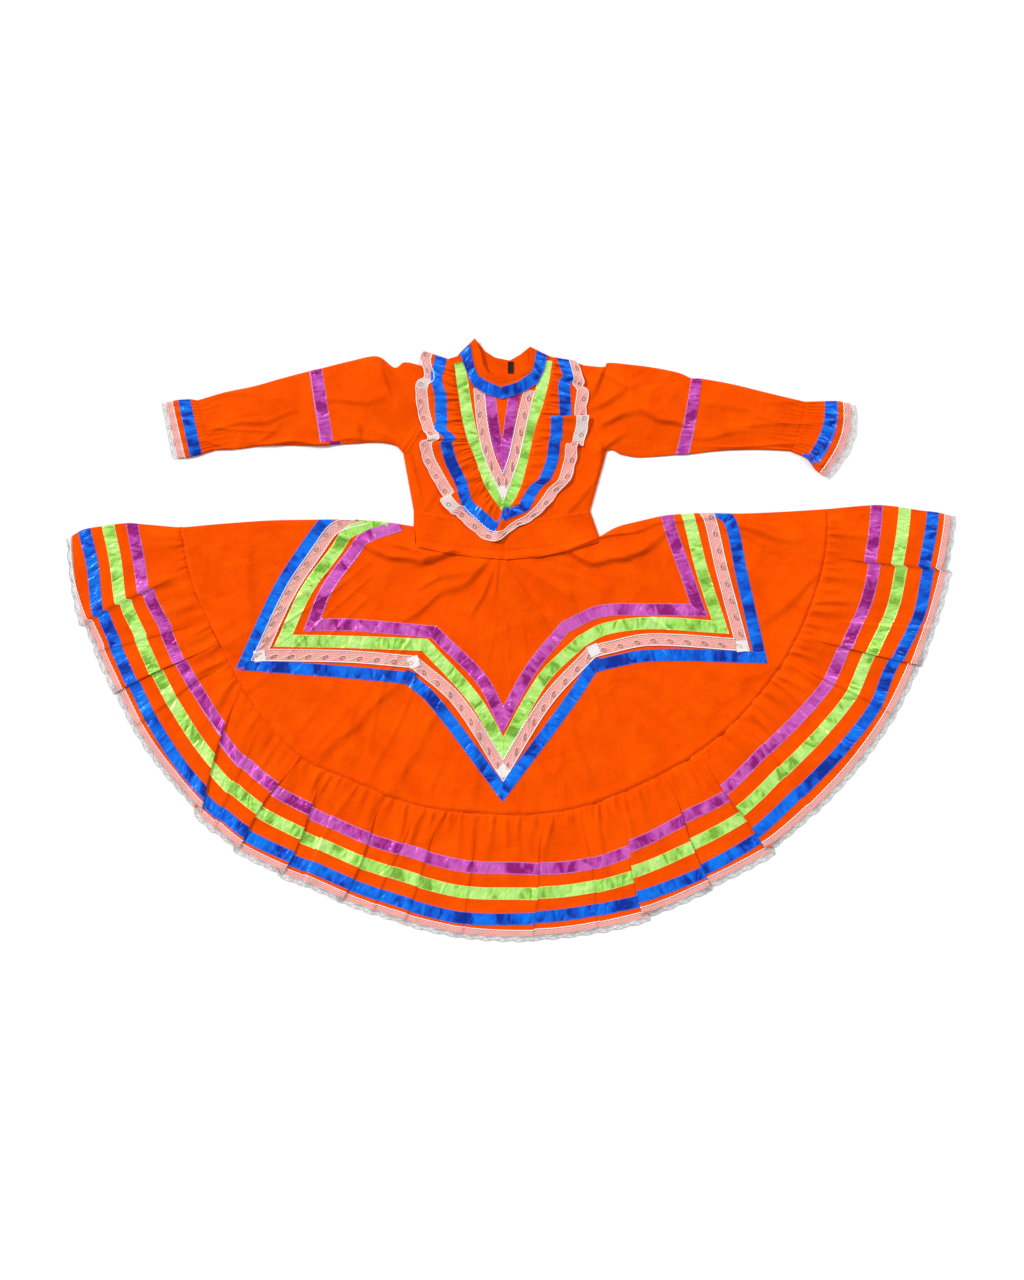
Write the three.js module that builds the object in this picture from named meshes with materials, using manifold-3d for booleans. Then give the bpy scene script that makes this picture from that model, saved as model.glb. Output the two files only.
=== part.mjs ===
// A child's folklorico dress of the Jalisco kind, laid flat on a table with its front up:
// a fitted bodice with a ribboned yoke, a gathered bib ruffle, long sleeves with cuff frills,
// and a full circle skirt with a ribbon star and a gathered flounce, spread as a half disc.
//
// Frame: millimetres, the origin on the table under the middle of the dress, +X towards the
// wearer's left, +Y towards the neck, +Z up. The skirt's angles turn from +X down towards -Y.

import * as THREE from "three";
import { mergeVertices } from "three/addons/utils/BufferGeometryUtils.js";
import Module from "manifold-3d";

const wasm = await Module();
wasm.setup();

// Driving sizes, in millimetres.
const CLOTH = 1; // every cloth wall
const TRIM = 1; // ribbon and lace walls
const GAP = 0.3; // between pieces at a seam and between layers
const WAVE_GAP = 0.8; // between a waved cloth and the straight-sided ribbons on it
const FRONT = CLOTH + GAP; // height of the front's lower side over the table
const RIBBON = 21; // satin ribbon's width
const LACE = 24; // lace's width
const LACE_PAST_EDGE = 12.5; // how far the hem lace reaches past the cloth
const DISC = { x: 0, y: 236 }; // centre of the circle skirt
const SKIRT_END = { right: 1.6, left: 175.3 }; // the skirt's side folds, degrees
const HEM_END = { right: 2.0, left: 175.4 };

const COLOUR = { orange: 0xff5a00, blue: 0x0a62e6, green: 0xa8e85a, purple: 0xc04aae, lace: 0xf6dcd6, dark: 0x2b2320 };

const { lerp, clamp, degToRad } = THREE.MathUtils;

// ---------------------------------------------------------------- tables and curves

function place(rows, key, at) {
  let i = 0;
  while (i < rows.length - 2 && rows[i + 1][key] < at) i++;
  const fraction = (at - rows[i][key]) / (rows[i + 1][key] - rows[i][key]);
  return { i, fraction: clamp(fraction, 0, 1) };
}

function straight(rows, key, column, at) {
  const { i, fraction } = place(rows, key, at);
  return lerp(rows[i][column], rows[i + 1][column], fraction);
}

function smooth(rows, key, column, at) {
  const { i, fraction: f } = place(rows, key, at);
  const slope = (k) => {
    const a = rows[Math.max(k - 1, 0)];
    const b = rows[Math.min(k + 1, rows.length - 1)];
    return (b[column] - a[column]) / (b[key] - a[key]);
  };
  const step = rows[i + 1][key] - rows[i][key];
  const [f2, f3] = [f * f, f * f * f];
  return (
    (2 * f3 - 3 * f2 + 1) * rows[i][column] +
    (f3 - 2 * f2 + f) * step * slope(i) +
    (3 * f2 - 2 * f3) * rows[i + 1][column] +
    (f3 - f2) * step * slope(i + 1)
  );
}

// Turns a header and rows of numbers into a list of rows with named columns.
function table(header, rows) {
  const names = header.split(" ");
  return rows.map((row) => Object.fromEntries(names.map((name, k) => [name, row[k]])));
}

function polar(angle, radius) {
  const a = degToRad(angle);
  return { x: DISC.x + radius * Math.cos(a), y: DISC.y - radius * Math.sin(a) };
}

function mix(a, b, f) {
  return { x: lerp(a.x, b.x, f), y: lerp(a.y, b.y, f) };
}

// ---------------------------------------------------------------- creases of the front

// Each crease is a soft ridge from one end to the other.
const CREASES = table("x0 y0 x1 y1 lift width", [
  [-284, 160, -205, 136, 5, 13], // bunched skirt under the waistband, wearer's right
  [-205, 136, -139, 128, 6, 12],
  [73, 143, 158, 128, 6, 12], // the same, wearer's left
  [158, 128, 260, 176, 6, 13],
  [-12, 126, 60, -2, 4, 15], // folds that spread from the waist
  [-37, 128, -190, 58, 3, 18],
  [-63, 128, -139, -2, 3, 18],
  [30, 128, 120, 40, 2.5, 18],
  [-190, -70, -343, -214, 3.5, 20], // folds that run down to the flounce
  [-114, -104, -216, -260, 3, 20],
  [-58, -104, -66, -275, 3, 18],
  [82, -138, 150, -262, 3, 18],
  [146, -78, 303, -200, 4, 20],
  [218, -53, 371, -153, 3, 18],
  [379, 190, 481, 165, 4, 14],
  [500, 100, 430, 32, 3, 18],
  [-449, 160, -445, 49, 3, 20],
  [-530, -2, -476, -10, 2.5, 16],
  [-230, 468, -190, 398, 5, 12], // shoulder folds, wearer's right sleeve
  [-222, 436, -196, 372, 3, 10],
  [-309, 406, -219, 408, 2.5, 12],
  [-462, 355, -360, 386, 2.5, 12],
  [166, 458, 153, 420, 4.5, 10], // shoulder folds, wearer's left sleeve
  [150, 372, 231, 389, 4, 14],
  [231, 389, 292, 360, 3.5, 12],
  [148, 310, 140, 250, 2.5, 9],
]);

function creaseLift(x, y) {
  let lift = 0;
  for (const c of CREASES) {
    const [dx, dy] = [c.x1 - c.x0, c.y1 - c.y0];
    const along = clamp(((x - c.x0) * dx + (y - c.y0) * dy) / (dx * dx + dy * dy), 0, 1);
    const away = Math.hypot(x - c.x0 - along * dx, y - c.y0 - along * dy) / c.width;
    lift += c.lift * Math.exp(-away * away);
  }
  return lift;
}

function frontHeight(x, y) {
  return FRONT + creaseLift(x, y);
}

// ---------------------------------------------------------------- cloth as a wall on a net

// A net is a grid of points on a cloth's lower side, net[column][row], each with its normal.
// Rows named in `upright` keep a vertical normal, so that two cloths meet cleanly at a seam.
function netOf(points, upright = "all") {
  const lastColumn = points.length - 1;
  const lastRow = points[0].length - 1;
  return points.map((column, c) =>
    column.map((p, r) => {
      if (upright === "all" || upright.includes(r)) return { p, n: new THREE.Vector3(0, 0, 1) };
      const along = points[Math.min(c + 1, lastColumn)][r].clone().sub(points[Math.max(c - 1, 0)][r]);
      const across = column[Math.min(r + 1, lastRow)].clone().sub(column[Math.max(r - 1, 0)]);
      const n = along.cross(across).normalize();
      return { p, n: n.z < 0 ? n.negate() : n };
    }),
  );
}

// The wall between two offsets along the normals of a net.
function wall(net, low, high) {
  const columns = net.length;
  const rows = net[0].length;
  const positions = [];
  for (const offset of [low, high])
    for (const column of net)
      for (const { p, n } of column) positions.push(...p.clone().addScaledVector(n, offset).toArray());
  const lower = (c, r) => c * rows + r;
  const upper = (c, r) => (columns + c) * rows + r;
  const indices = [];
  const quad = (a, b, c, d) => indices.push(a, b, c, a, c, d);
  for (let c = 0; c < columns - 1; c++) {
    for (let r = 0; r < rows - 1; r++) {
      quad(upper(c, r), upper(c + 1, r), upper(c + 1, r + 1), upper(c, r + 1));
      quad(lower(c, r), lower(c, r + 1), lower(c + 1, r + 1), lower(c + 1, r));
    }
    quad(lower(c, 0), lower(c + 1, 0), upper(c + 1, 0), upper(c, 0));
    quad(lower(c + 1, rows - 1), lower(c, rows - 1), upper(c, rows - 1), upper(c + 1, rows - 1));
  }
  for (let r = 0; r < rows - 1; r++) {
    quad(lower(0, r + 1), lower(0, r), upper(0, r), upper(0, r + 1));
    quad(lower(columns - 1, r), lower(columns - 1, r + 1), upper(columns - 1, r + 1), upper(columns - 1, r));
  }
  return closedGeometry(positions, indices);
}

// A closed geometry from shared points, turned so that its faces look out.
function closedGeometry(positions, indices) {
  let volume = 0;
  const point = (i) => new THREE.Vector3(...positions.slice(3 * i, 3 * i + 3));
  for (let i = 0; i < indices.length; i += 3)
    volume += point(indices[i]).dot(point(indices[i + 1]).cross(point(indices[i + 2])));
  if (volume < 0)
    for (let i = 0; i < indices.length; i += 3)
      [indices[i + 1], indices[i + 2]] = [indices[i + 2], indices[i + 1]];
  const geometry = new THREE.BufferGeometry();
  geometry.setAttribute("position", new THREE.Float32BufferAttribute(positions, 3));
  geometry.setIndex(indices);
  return geometry;
}

// The part of a net between two shares of its last row interval, where it is straight.
function stripOf(net, from, to) {
  return net.map((column, c) => {
    const a = column[column.length - 2];
    const b = column[column.length - 1];
    return [from(c), to(c)].map((f) => ({
      p: a.p.clone().lerp(b.p, f),
      n: a.n.clone().lerp(b.n, f).normalize(),
    }));
  });
}

// What lies on a net: its wall moved out, cut to a plan outline.
function manifoldOf(geometry) {
  const bare = geometry.clone();
  bare.deleteAttribute("normal");
  bare.deleteAttribute("uv");
  const merged = mergeVertices(bare, 1e-4);
  return new wasm.Manifold(
    new wasm.Mesh({
      numProp: 3,
      vertProperties: merged.attributes.position.array,
      triVerts: new Uint32Array(merged.index.array),
    }),
  );
}

function prismOf(outline) {
  const prism = new THREE.ExtrudeGeometry(new THREE.Shape(outline), { depth: 60, bevelEnabled: false });
  return manifoldOf(prism.translate(0, 0, -10));
}

// `without` lists the outlines of neighbours that keep their own place.
function overlay(net, outline, without = []) {
  let solid = manifoldOf(wall(net, CLOTH + GAP, CLOTH + GAP + TRIM)).intersect(prismOf(outline));
  for (const neighbour of without) solid = solid.subtract(prismOf(neighbour));
  const mesh = solid.getMesh();
  const geometry = new THREE.BufferGeometry();
  geometry.setAttribute("position", new THREE.BufferAttribute(mesh.vertProperties, 3));
  geometry.setIndex(new THREE.BufferAttribute(mesh.triVerts, 1));
  return geometry;
}

// The outline of a band of a given width along a middle line, with mitred corners.
function bandOutline(middle, width) {
  const side = (sign) =>
    middle.map((p, i) => {
      const before = middle[Math.max(i - 1, 0)];
      const after = middle[Math.min(i + 1, middle.length - 1)];
      const a = new THREE.Vector2(p.x - before.x, p.y - before.y).normalize();
      const b = new THREE.Vector2(after.x - p.x, after.y - p.y).normalize();
      if (i === 0) a.copy(b);
      if (i === middle.length - 1) b.copy(a);
      const normal = new THREE.Vector2(-(a.y + b.y), a.x + b.x).normalize();
      const mitre = width / 2 / Math.max(normal.dot(new THREE.Vector2(-a.y, a.x)), 0.4);
      return new THREE.Vector2(p.x + sign * normal.x * mitre, p.y + sign * normal.y * mitre);
    });
  return [...side(1), ...side(-1).reverse()];
}

const dress = new THREE.Group();

function add(name, geometry, colour, roughness = 0.8) {
  const material = new THREE.MeshStandardMaterial({ color: COLOUR[colour], roughness, metalness: 0 });
  const mesh = new THREE.Mesh(geometry, material);
  mesh.name = name;
  dress.add(mesh);
}

const flat = (p) => new THREE.Vector3(p.x, p.y, 0);
const onFront = (p, more = 0) => new THREE.Vector3(p.x, p.y, frontHeight(p.x, p.y) + more);

// ---------------------------------------------------------------- skirt

const SKIRT_COLUMNS = 38;
const SKIRT_ROWS = 7;
const BAND_COLUMNS = { first: 3, last: 35 }; // the columns that reach the waistband

// Waist seam of the skirt; `t` runs from the wearer's left side fold to the right one.
const WAIST = table("t x y", [
  [0, 150.5, 175],
  [BAND_COLUMNS.first / SKIRT_COLUMNS, 150.5, 167.5],
  [0.22, 99, 152],
  [0.37, 48, 142],
  [0.52, -11, 137],
  [0.68, -71, 142],
  [0.82, -122, 150],
  [BAND_COLUMNS.last / SKIRT_COLUMNS, -168, 159],
  [1, -171, 192],
]);
// How far the side folds bow up from straight lines between waist and flounce.
const SIDE_BOW = table("v right left", [
  [0, 0, 0],
  [0.07, 12, 5],
  [0.18, 18, 10],
  [0.29, 22, 12],
  [0.44, 19, 12],
  [0.62, 10, 11],
  [0.82, 4, 6],
  [1, 0, 0],
]);
// Radii at the flounce seam, the purple and blue ribbons' middles and the lace's outer edge.
const DISC_RADII = table("angle seam purple blue hem", [
  [2, 536, 622, 718, 757],
  [10, 539, 622, 714, 753],
  [16, 538, 625, 718, 752],
  [24, 537, 619, 706, 749],
  [30, 536, 621, 710, 748],
  [37, 534, 612, 703, 745],
  [46, 533, 606, 698, 742],
  [54, 531, 616, 706, 745],
  [62, 529, 615, 709, 743],
  [70, 530, 624, 711, 748],
  [79, 534, 632, 711, 750],
  [90, 534, 625, 712, 750],
  [97, 534, 627, 715, 749],
  [107, 542, 622, 708, 744],
  [117, 545, 627, 710, 745],
  [123, 553, 629, 716, 752],
  [129, 564, 636, 726, 760],
  [137, 563, 637, 726, 756],
  [147, 556, 626, 719, 755],
  [154, 552, 628, 716, 753],
  [160, 556, 630, 719, 757],
  [165, 560, 641, 726, 763],
  [171, 562, 643, 722, 762],
  [176, 565, 649, 731, 759],
]);
const BOW_REACH = 0.12; // share of the skirt over which the side bow dies out

function seamStation(k) {
  const angle = lerp(SKIRT_END.right, SKIRT_END.left, k / SKIRT_COLUMNS);
  return polar(angle, smooth(DISC_RADII, "angle", "seam", angle));
}

// The flounce seam as the skirt's own net has it: straight between its columns.
function seamPoint(t) {
  const k = clamp(Math.floor(t * SKIRT_COLUMNS), 0, SKIRT_COLUMNS - 1);
  return mix(seamStation(k), seamStation(k + 1), t * SKIRT_COLUMNS - k);
}

function sideBow(t, v) {
  const right = clamp(1 - t / BOW_REACH, 0, 1) ** 2 * smooth(SIDE_BOW, "v", "right", v);
  const left = clamp(1 - (1 - t) / BOW_REACH, 0, 1) ** 2 * smooth(SIDE_BOW, "v", "left", v);
  return right + left;
}

function skirtPoint(t, v) {
  const waist = { x: straight(WAIST, "t", "x", t), y: straight(WAIST, "t", "y", t) };
  const p = mix(waist, seamPoint(t), v);
  p.y += sideBow(t, v);
  return p;
}

function skirtNet(lay, rows) {
  const points = [];
  for (let c = 0; c <= SKIRT_COLUMNS; c++) {
    const t = c / SKIRT_COLUMNS;
    points.push(Array.from({ length: rows + 1 }, (_, r) => lay(skirtPoint(t, r / rows))));
  }
  return netOf(points);
}

const skirtFront = skirtNet(onFront, SKIRT_ROWS);
add("skirt_front", wall(skirtFront, 0, CLOTH), "orange");
add("skirt_back", wall(skirtNet(flat, 1), 0, CLOTH), "orange");

// ---------------------------------------------------------------- ribbon star on the skirt

// Middle lines of the four bands, from the wearer's left side fold round to the right one.
const STAR = table("purpleX purpleY greenX greenY laceX laceY blueX blueY", [
  [262, 222, 295, 222, 326, 222, 346, 222],
  [269, 189, 303, 197, 337, 202, 371, 199],
  [297, 109, 323, 117, 357, 117, 389, 117],
  [318, 49, 355, 20, 391, -10, 422, -31],
  [235, 50, 235, 27, 235, -1, 235, -28],
  [150, 47, 158, 17, 162, -15, 158, -42],
  [90, 20, 116, -5, 136, -22, 136, -49],
  [34, -49, 53, -68, 60, -104, 100, -104],
  [-16, -138, -15, -188, -15, -224, -16, -260],
  [-51, -70, -63, -104, -93, -104, -134, -104],
  [-133, 12, -148, -10, -167, -39, -177, -66],
  [-275, 24, -275, -5, -275, -30, -275, -57],
  [-340, 24, -389, -3, -428, -27, -455, -43],
  [-316, 83, -349, 83, -376, 83, -397, 83],
  [-267, 151, -299, 151, -330, 151, -354, 151],
  [-250, 172, -275, 183, -301, 188, -330, 184],
  [-190, 194, -205, 199, -245, 206, -311, 208],
]);

// Each band after the first is cut back where it would run over the one inside it.
let starInside = [];
for (const [band, width] of Object.entries({ purple: RIBBON, green: RIBBON, lace: LACE - 3, blue: RIBBON })) {
  const middle = STAR.map((row) => ({ x: row[band + "X"], y: row[band + "Y"] }));
  const outline = bandOutline(middle, width);
  add("star_" + band, overlay(skirtFront, outline, starInside), band, band === "lace" ? 0.9 : 0.35);
  starInside = [bandOutline(middle, width + 2 * GAP)];
}

// ---------------------------------------------------------------- flounce

// Folds of the flounce from the wearer's left to the right: the angle where each leaves the
// seam and reaches the hem, its height, the side that lies on top (1: the side of greater
// angle) and the step of the hem and ribbons across it.
const FOLDS = table("seam hem lift over step", [
  [10.3, 9.2, 6, -1, 9],
  [21.5, 16.7, 2.5, 1, 0],
  [25.3, 22.0, 6, -1, -3],
  [29.9, 29.6, 4, -1, 0],
  [36, 36, 3.5, 1, 0],
  [44.1, 45.7, 4.5, -1, 0],
  [53.3, 54.1, 7, -1, 12],
  [60.9, 63, 5, 1, 6],
  [70.3, 72.1, 7, -1, 9],
  [77.7, 79, 3, 1, 0],
  [84, 87, 4, 1, 2],
  [96.4, 96.1, 4, 1, 0],
  [102.5, 104.2, 4.5, 1, -2],
  [107.5, 108.6, 3.5, 1, 0],
  [113.4, 113, 5.5, 1, -2],
  [120, 118.3, 4, -1, 0],
  [124.5, 121.8, 6, 1, -7],
  [129.6, 128.3, 6.5, 1, -6],
  [138.5, 131.8, 3, 1, 0],
  [145.5, 135.2, 6, 1, -8],
  [150, 149.2, 3.5, 1, 0],
  [154, 154.2, 5.5, 1, 3],
  [158.5, 159.9, 3, 1, 0],
  [167.4, 163.9, 6.5, 1, 8],
]);
const CREST = 4; // mm from a fold's foot to its crest at the hem
const STEP_REACH = 5; // degrees over which a step dies out
const TALL_FOLD = 4.2; // folds over this height have a shoulder
const FLOUNCE_BOW = table("v right left", [
  [0, 0, 0],
  [0.35, 10, 10],
  [0.5, 11, 14],
  [0.75, 6, 12],
  [0.9, 4, 9],
  [1, 0, 0],
]);
const GATHER_V = 0.07; // row of the small gathers, as a share of the flounce's depth
const GATHER_LIFT = 1.3;
const SEAM_GAP = 1.2; // the gathered edge's corners cut across the skirt's

// One column of the flounce for each foot, crest, slope and hollow.
function flounceColumns() {
  const ends = [
    { seam: SKIRT_END.right, hem: HEM_END.right, lift: 0, over: 1, step: 0 },
    ...FOLDS,
    { seam: SKIRT_END.left, hem: HEM_END.left, lift: 0, over: -1, step: 0 },
  ];
  const columns = [];
  for (let k = 0; k < ends.length - 1; k++) {
    const [a, b] = [ends[k], ends[k + 1]];
    const crestShare = CREST / (degToRad(b.hem - a.hem) * 750);
    const onA = a.over > 0 ? a.lift : 0;
    const onB = b.over < 0 ? b.lift : 0;
    const stops = [[0, 0]];
    if (onA) stops.push([crestShare, onA]);
    if (onA > TALL_FOLD) stops.push([0.33, onA * 0.4]);
    stops.push([0.55, 0.6]);
    if (onB > TALL_FOLD) stops.push([0.72, onB * 0.4]);
    if (onB) stops.push([1 - crestShare, onB]);
    for (const [share, lift] of stops) {
      const half = share < 0.5 ? a.step / 2 : -b.step / 2;
      const degreesAway = share < 0.5 ? (b.hem - a.hem) * share : (b.hem - a.hem) * (1 - share);
      const ownFoot = share === 0 && a.over > 0 ? -1 : 1; // a foot belongs to the side beneath
      columns.push({
        seam: lerp(a.seam, b.seam, share),
        hem: lerp(a.hem, b.hem, share),
        lift,
        shift: ownFoot * half * Math.exp(-degreesAway / STEP_REACH),
      });
    }
  }
  const { seam, hem } = ends[ends.length - 1];
  columns.push({ seam, hem, lift: 0, shift: 0 });
  return columns;
}

const FLOUNCE_COLUMNS = flounceColumns();

function flounceLine(column) {
  const radius = (name, angle) => smooth(DISC_RADII, "angle", name, angle) + column.shift;
  const t = (column.seam - SKIRT_END.right) / (SKIRT_END.left - SKIRT_END.right);
  const hemRadius = radius("hem", column.hem);
  const seamRadius = smooth(DISC_RADII, "angle", "seam", column.seam);
  const share = (r) => (r - seamRadius) / (hemRadius - seamRadius);
  const angleAt = (r) => lerp(column.seam, column.hem, share(r));
  const middle = (name) => radius(name, lerp(column.seam, column.hem, name === "purple" ? 0.4 : 0.83));
  return { t, seamRadius, hemRadius, share, angleAt, purple: middle("purple"), blue: middle("blue") };
}

function flounceBow(t, v) {
  const right = clamp(1 - t / 0.05, 0, 1) * smooth(FLOUNCE_BOW, "v", "right", v);
  const left = clamp(1 - (1 - t) / 0.05, 0, 1) * smooth(FLOUNCE_BOW, "v", "left", v);
  return right + left;
}

// The flounce is straight from just inside the purple ribbon to the hem.
const flounceLines = FLOUNCE_COLUMNS.map(flounceLine);
const innerRadius = (line) => line.purple - RIBBON / 2 - 4;
const clothRadius = (line) => line.hemRadius - LACE_PAST_EDGE;

function flouncePoints() {
  return FLOUNCE_COLUMNS.map((column, c) => {
    const line = flounceLines[c];
    const seam = seamPoint(line.t);
    const outward = new THREE.Vector2(seam.x - DISC.x, seam.y - DISC.y).normalize();
    const start = { x: seam.x + outward.x * SEAM_GAP, y: seam.y + outward.y * SEAM_GAP };
    const at = (radius) => {
      const p = polar(line.angleAt(radius), radius);
      p.y += flounceBow(line.t, line.share(radius));
      return p;
    };
    const gatherRadius = lerp(line.seamRadius, line.hemRadius, GATHER_V);
    const gather = (c % 2 ? GATHER_LIFT : 0) + column.lift * 0.25;
    return [
      new THREE.Vector3(start.x, start.y, seamHeight(line.t)),
      new THREE.Vector3(at(gatherRadius).x, at(gatherRadius).y, FRONT + gather),
      new THREE.Vector3(at(innerRadius(line)).x, at(innerRadius(line)).y, FRONT + column.lift),
      new THREE.Vector3(at(clothRadius(line)).x, at(clothRadius(line)).y, FRONT + column.lift),
    ];
  });
}

function seamHeight(t) {
  const k = clamp(Math.floor(t * SKIRT_COLUMNS), 0, SKIRT_COLUMNS - 1);
  const height = (i) => skirtFront[i][SKIRT_ROWS].p.z;
  return lerp(height(k), height(k + 1), t * SKIRT_COLUMNS - k);
}

const flounceFront = netOf(flouncePoints(), [0]);
add("flounce_front", wall(flounceFront, 0, CLOTH), "orange");

// A band on the flounce between two radii, each a function of the column.
function flounceBand(from, to) {
  const share = (radius, c) => {
    const line = flounceLines[c];
    return (radius(line) - innerRadius(line)) / (clothRadius(line) - innerRadius(line));
  };
  return wall(
    stripOf(flounceFront, (c) => share(from, c), (c) => share(to, c)),
    CLOTH + WAVE_GAP,
    CLOTH + WAVE_GAP + TRIM,
  );
}

const bandMiddles = {
  purple: (line) => line.purple,
  green: (line) => (line.purple + line.blue) / 2,
  blue: (line) => line.blue,
};
for (const [band, middle] of Object.entries(bandMiddles)) {
  const inner = (line) => middle(line) - RIBBON / 2;
  const outer = (line) => middle(line) + RIBBON / 2;
  add("flounce_ribbon_" + band, flounceBand(inner, outer), band, 0.35);
}
const laceFromRadius = (line) => Math.max(line.hemRadius - LACE, line.blue + RIBBON / 2 + 2 * GAP);
add("hem_lace_front", flounceBand(laceFromRadius, (line) => line.hemRadius), "lace", 0.9);

// The back's flounce and its lace lie flat on the table, edge to edge.
function backRing(from, to) {
  const points = [];
  for (let c = 0; c <= SKIRT_COLUMNS; c++) {
    const t = c / SKIRT_COLUMNS;
    const angle = lerp(HEM_END.right, HEM_END.left, t);
    const hem = smooth(DISC_RADII, "angle", "hem", angle);
    points.push([flat(from(t, angle, hem)), flat(to(t, angle, hem))]);
  }
  return netOf(points);
}

function pastSeam(t) {
  const seam = seamPoint(t);
  const outward = new THREE.Vector2(seam.x - DISC.x, seam.y - DISC.y).normalize();
  return { x: seam.x + outward.x * GAP, y: seam.y + outward.y * GAP };
}

const clothEdge = (t, angle, hem) => polar(angle, hem - LACE_PAST_EDGE - GAP);
add("flounce_back", wall(backRing(pastSeam, clothEdge), 0, CLOTH), "orange");
const laceInner = (t, angle, hem) => polar(angle, hem - LACE_PAST_EDGE);
const laceOuter = (t, angle, hem) => polar(angle, hem);
add("hem_lace_back", wall(backRing(laceInner, laceOuter), 0, TRIM), "lace", 0.9);

// ---------------------------------------------------------------- waistband

// Top seam of the waistband; its columns are the skirt's own, so both seams stay parallel.
const WAIST_TOP = table("t x y", [
  [0, 133, 217.6],
  [0.28, 65, 209],
  [0.5, -12, 205],
  [0.78, -105, 209],
  [1, -167, 217.6],
]);

function waistbandNet(lay) {
  const points = [];
  for (let c = BAND_COLUMNS.first; c <= BAND_COLUMNS.last; c++) {
    const t = (c - BAND_COLUMNS.first) / (BAND_COLUMNS.last - BAND_COLUMNS.first);
    const seam = skirtPoint(c / SKIRT_COLUMNS, 0);
    const inset = lerp(-GAP, GAP, t);
    const low = { x: seam.x + inset, y: seam.y + GAP };
    const top = waistTop(t);
    points.push([lay(low), lay(mix(low, top, 0.5)), lay(top)]);
  }
  return netOf(points);
}

add("waistband_front", wall(waistbandNet(onFront), 0, CLOTH), "orange");
add("waistband_back", wall(waistbandNet(flat), 0, CLOTH), "orange");

// ---------------------------------------------------------------- neck, yoke and bodice

// Each curve runs from the wearer's left shoulder round the front to the right shoulder.
const NECK = table("t topX topY ribbonX ribbonY seamX seamY", [
  [0, 30, 497, 41, 490, 59.5, 483],
  [0.1, 31, 470, 39, 473, 54, 458],
  [0.2, 27, 459, 34, 454, 44, 436],
  [0.35, 2, 449, 10, 437, 14, 418],
  [0.5, -21, 443.7, -19, 428, -17, 409.5],
  [0.66, -42, 454, -42, 438, -46, 418],
  [0.8, -49, 466, -58, 448, -67, 433],
  [0.9, -53, 487, -66, 471, -78, 459],
  [1, -63, 511, -71, 501.5, -88, 487],
]);
const YOKE_EDGE = table("t x y", [
  [0, 70, 479],
  [0.1, 65, 440],
  [0.2, 55, 400],
  [0.28, 45, 372],
  [0.34, 36, 338],
  [0.4, 28, 300],
  [0.44, 18, 262],
  [0.47, 4, 231],
  [0.5, -12, 211],
  [0.53, -27, 229],
  [0.58, -46, 254],
  [0.66, -63, 304],
  [0.74, -77, 338],
  [0.82, -87, 376],
  [0.9, -93, 420],
  [1, -100, 473],
]);
// Armhole seams, from the shoulder down to the underarm, curved in towards the body.
const ARMHOLE = {
  left: { top: { x: 121, y: 466 }, low: { x: 161.5, y: 320 }, side: 1 },
  right: { top: { x: -149, y: 464 }, low: { x: -185, y: 316 }, side: -1 },
};
const ARMHOLE_BOW = 20;
const BODY_COLUMNS = 34;

function armhole(name, t) {
  const { top, low, side } = ARMHOLE[name];
  const p = mix(top, low, t);
  p.x -= side * ARMHOLE_BOW * Math.sin(Math.PI * t);
  return p;
}

// The bodice's own edge along that seam.
function besideArmhole(name, t) {
  const p = armhole(name, t);
  return { x: p.x - ARMHOLE[name].side * 1.4 * GAP, y: p.y };
}

function waistTop(t) {
  return { x: smooth(WAIST_TOP, "t", "x", t), y: smooth(WAIST_TOP, "t", "y", t) };
}

// A curve in pieces, each with its own number of columns.
function piecewise(pieces) {
  const columns = pieces.reduce((sum, piece) => sum + piece.columns, 0);
  return (t) => {
    let at = t * columns;
    for (const piece of pieces) {
      if (at <= piece.columns + 1e-9) return piece.curve(at / piece.columns);
      at -= piece.columns;
    }
    return pieces[pieces.length - 1].curve(1);
  };
}

// Outer edge of the bodice: armhole, side, waist seam, then up the other side.
const bodyEdge = piecewise([
  { columns: 10, curve: (t) => besideArmhole("left", t) },
  { columns: 3, curve: (t) => mix(besideArmhole("left", 1), waistTop(0), t) },
  { columns: 8, curve: waistTop },
  { columns: 3, curve: (t) => mix(waistTop(1), besideArmhole("right", 1), t) },
  { columns: 10, curve: (t) => besideArmhole("right", 1 - t) },
]);

const tableCurve = (rows, x, y) => (t) => ({ x: straight(rows, "t", x, t), y: straight(rows, "t", y, t) });
const neckTop = tableCurve(NECK, "topX", "topY");
const neckRibbon = tableCurve(NECK, "ribbonX", "ribbonY");
const neckSeam = tableCurve(NECK, "seamX", "seamY");

// The yoke's seam as the bodice's own columns have it.
function yokeEdge(t) {
  const k = clamp(Math.floor(t * BODY_COLUMNS), 0, BODY_COLUMNS - 1);
  const station = (i) => ({
    x: straight(YOKE_EDGE, "t", "x", i / BODY_COLUMNS),
    y: straight(YOKE_EDGE, "t", "y", i / BODY_COLUMNS),
  });
  return mix(station(k), station(k + 1), t * BODY_COLUMNS - k);
}

// A net between two curves, with rows at the given shares and both edges drawn in by a gap.
function ringNet(inner, outer, shares, columns, lay, trim = { inner: 0, outer: 0 }) {
  const points = [];
  for (let c = 0; c <= columns; c++) {
    const [a, b] = [inner(c / columns), outer(c / columns)];
    const length = Math.hypot(b.x - a.x, b.y - a.y);
    const from = trim.inner / length;
    const to = 1 - trim.outer / length;
    points.push(shares.map((f) => lay(mix(a, b, lerp(from, to, f)))));
  }
  return netOf(points);
}

const bodice = ringNet(yokeEdge, bodyEdge, [0, 0.3, 0.65, 1], BODY_COLUMNS, onFront, { inner: GAP, outer: GAP });
add("bodice_front", wall(bodice, 0, CLOTH), "orange");

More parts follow.
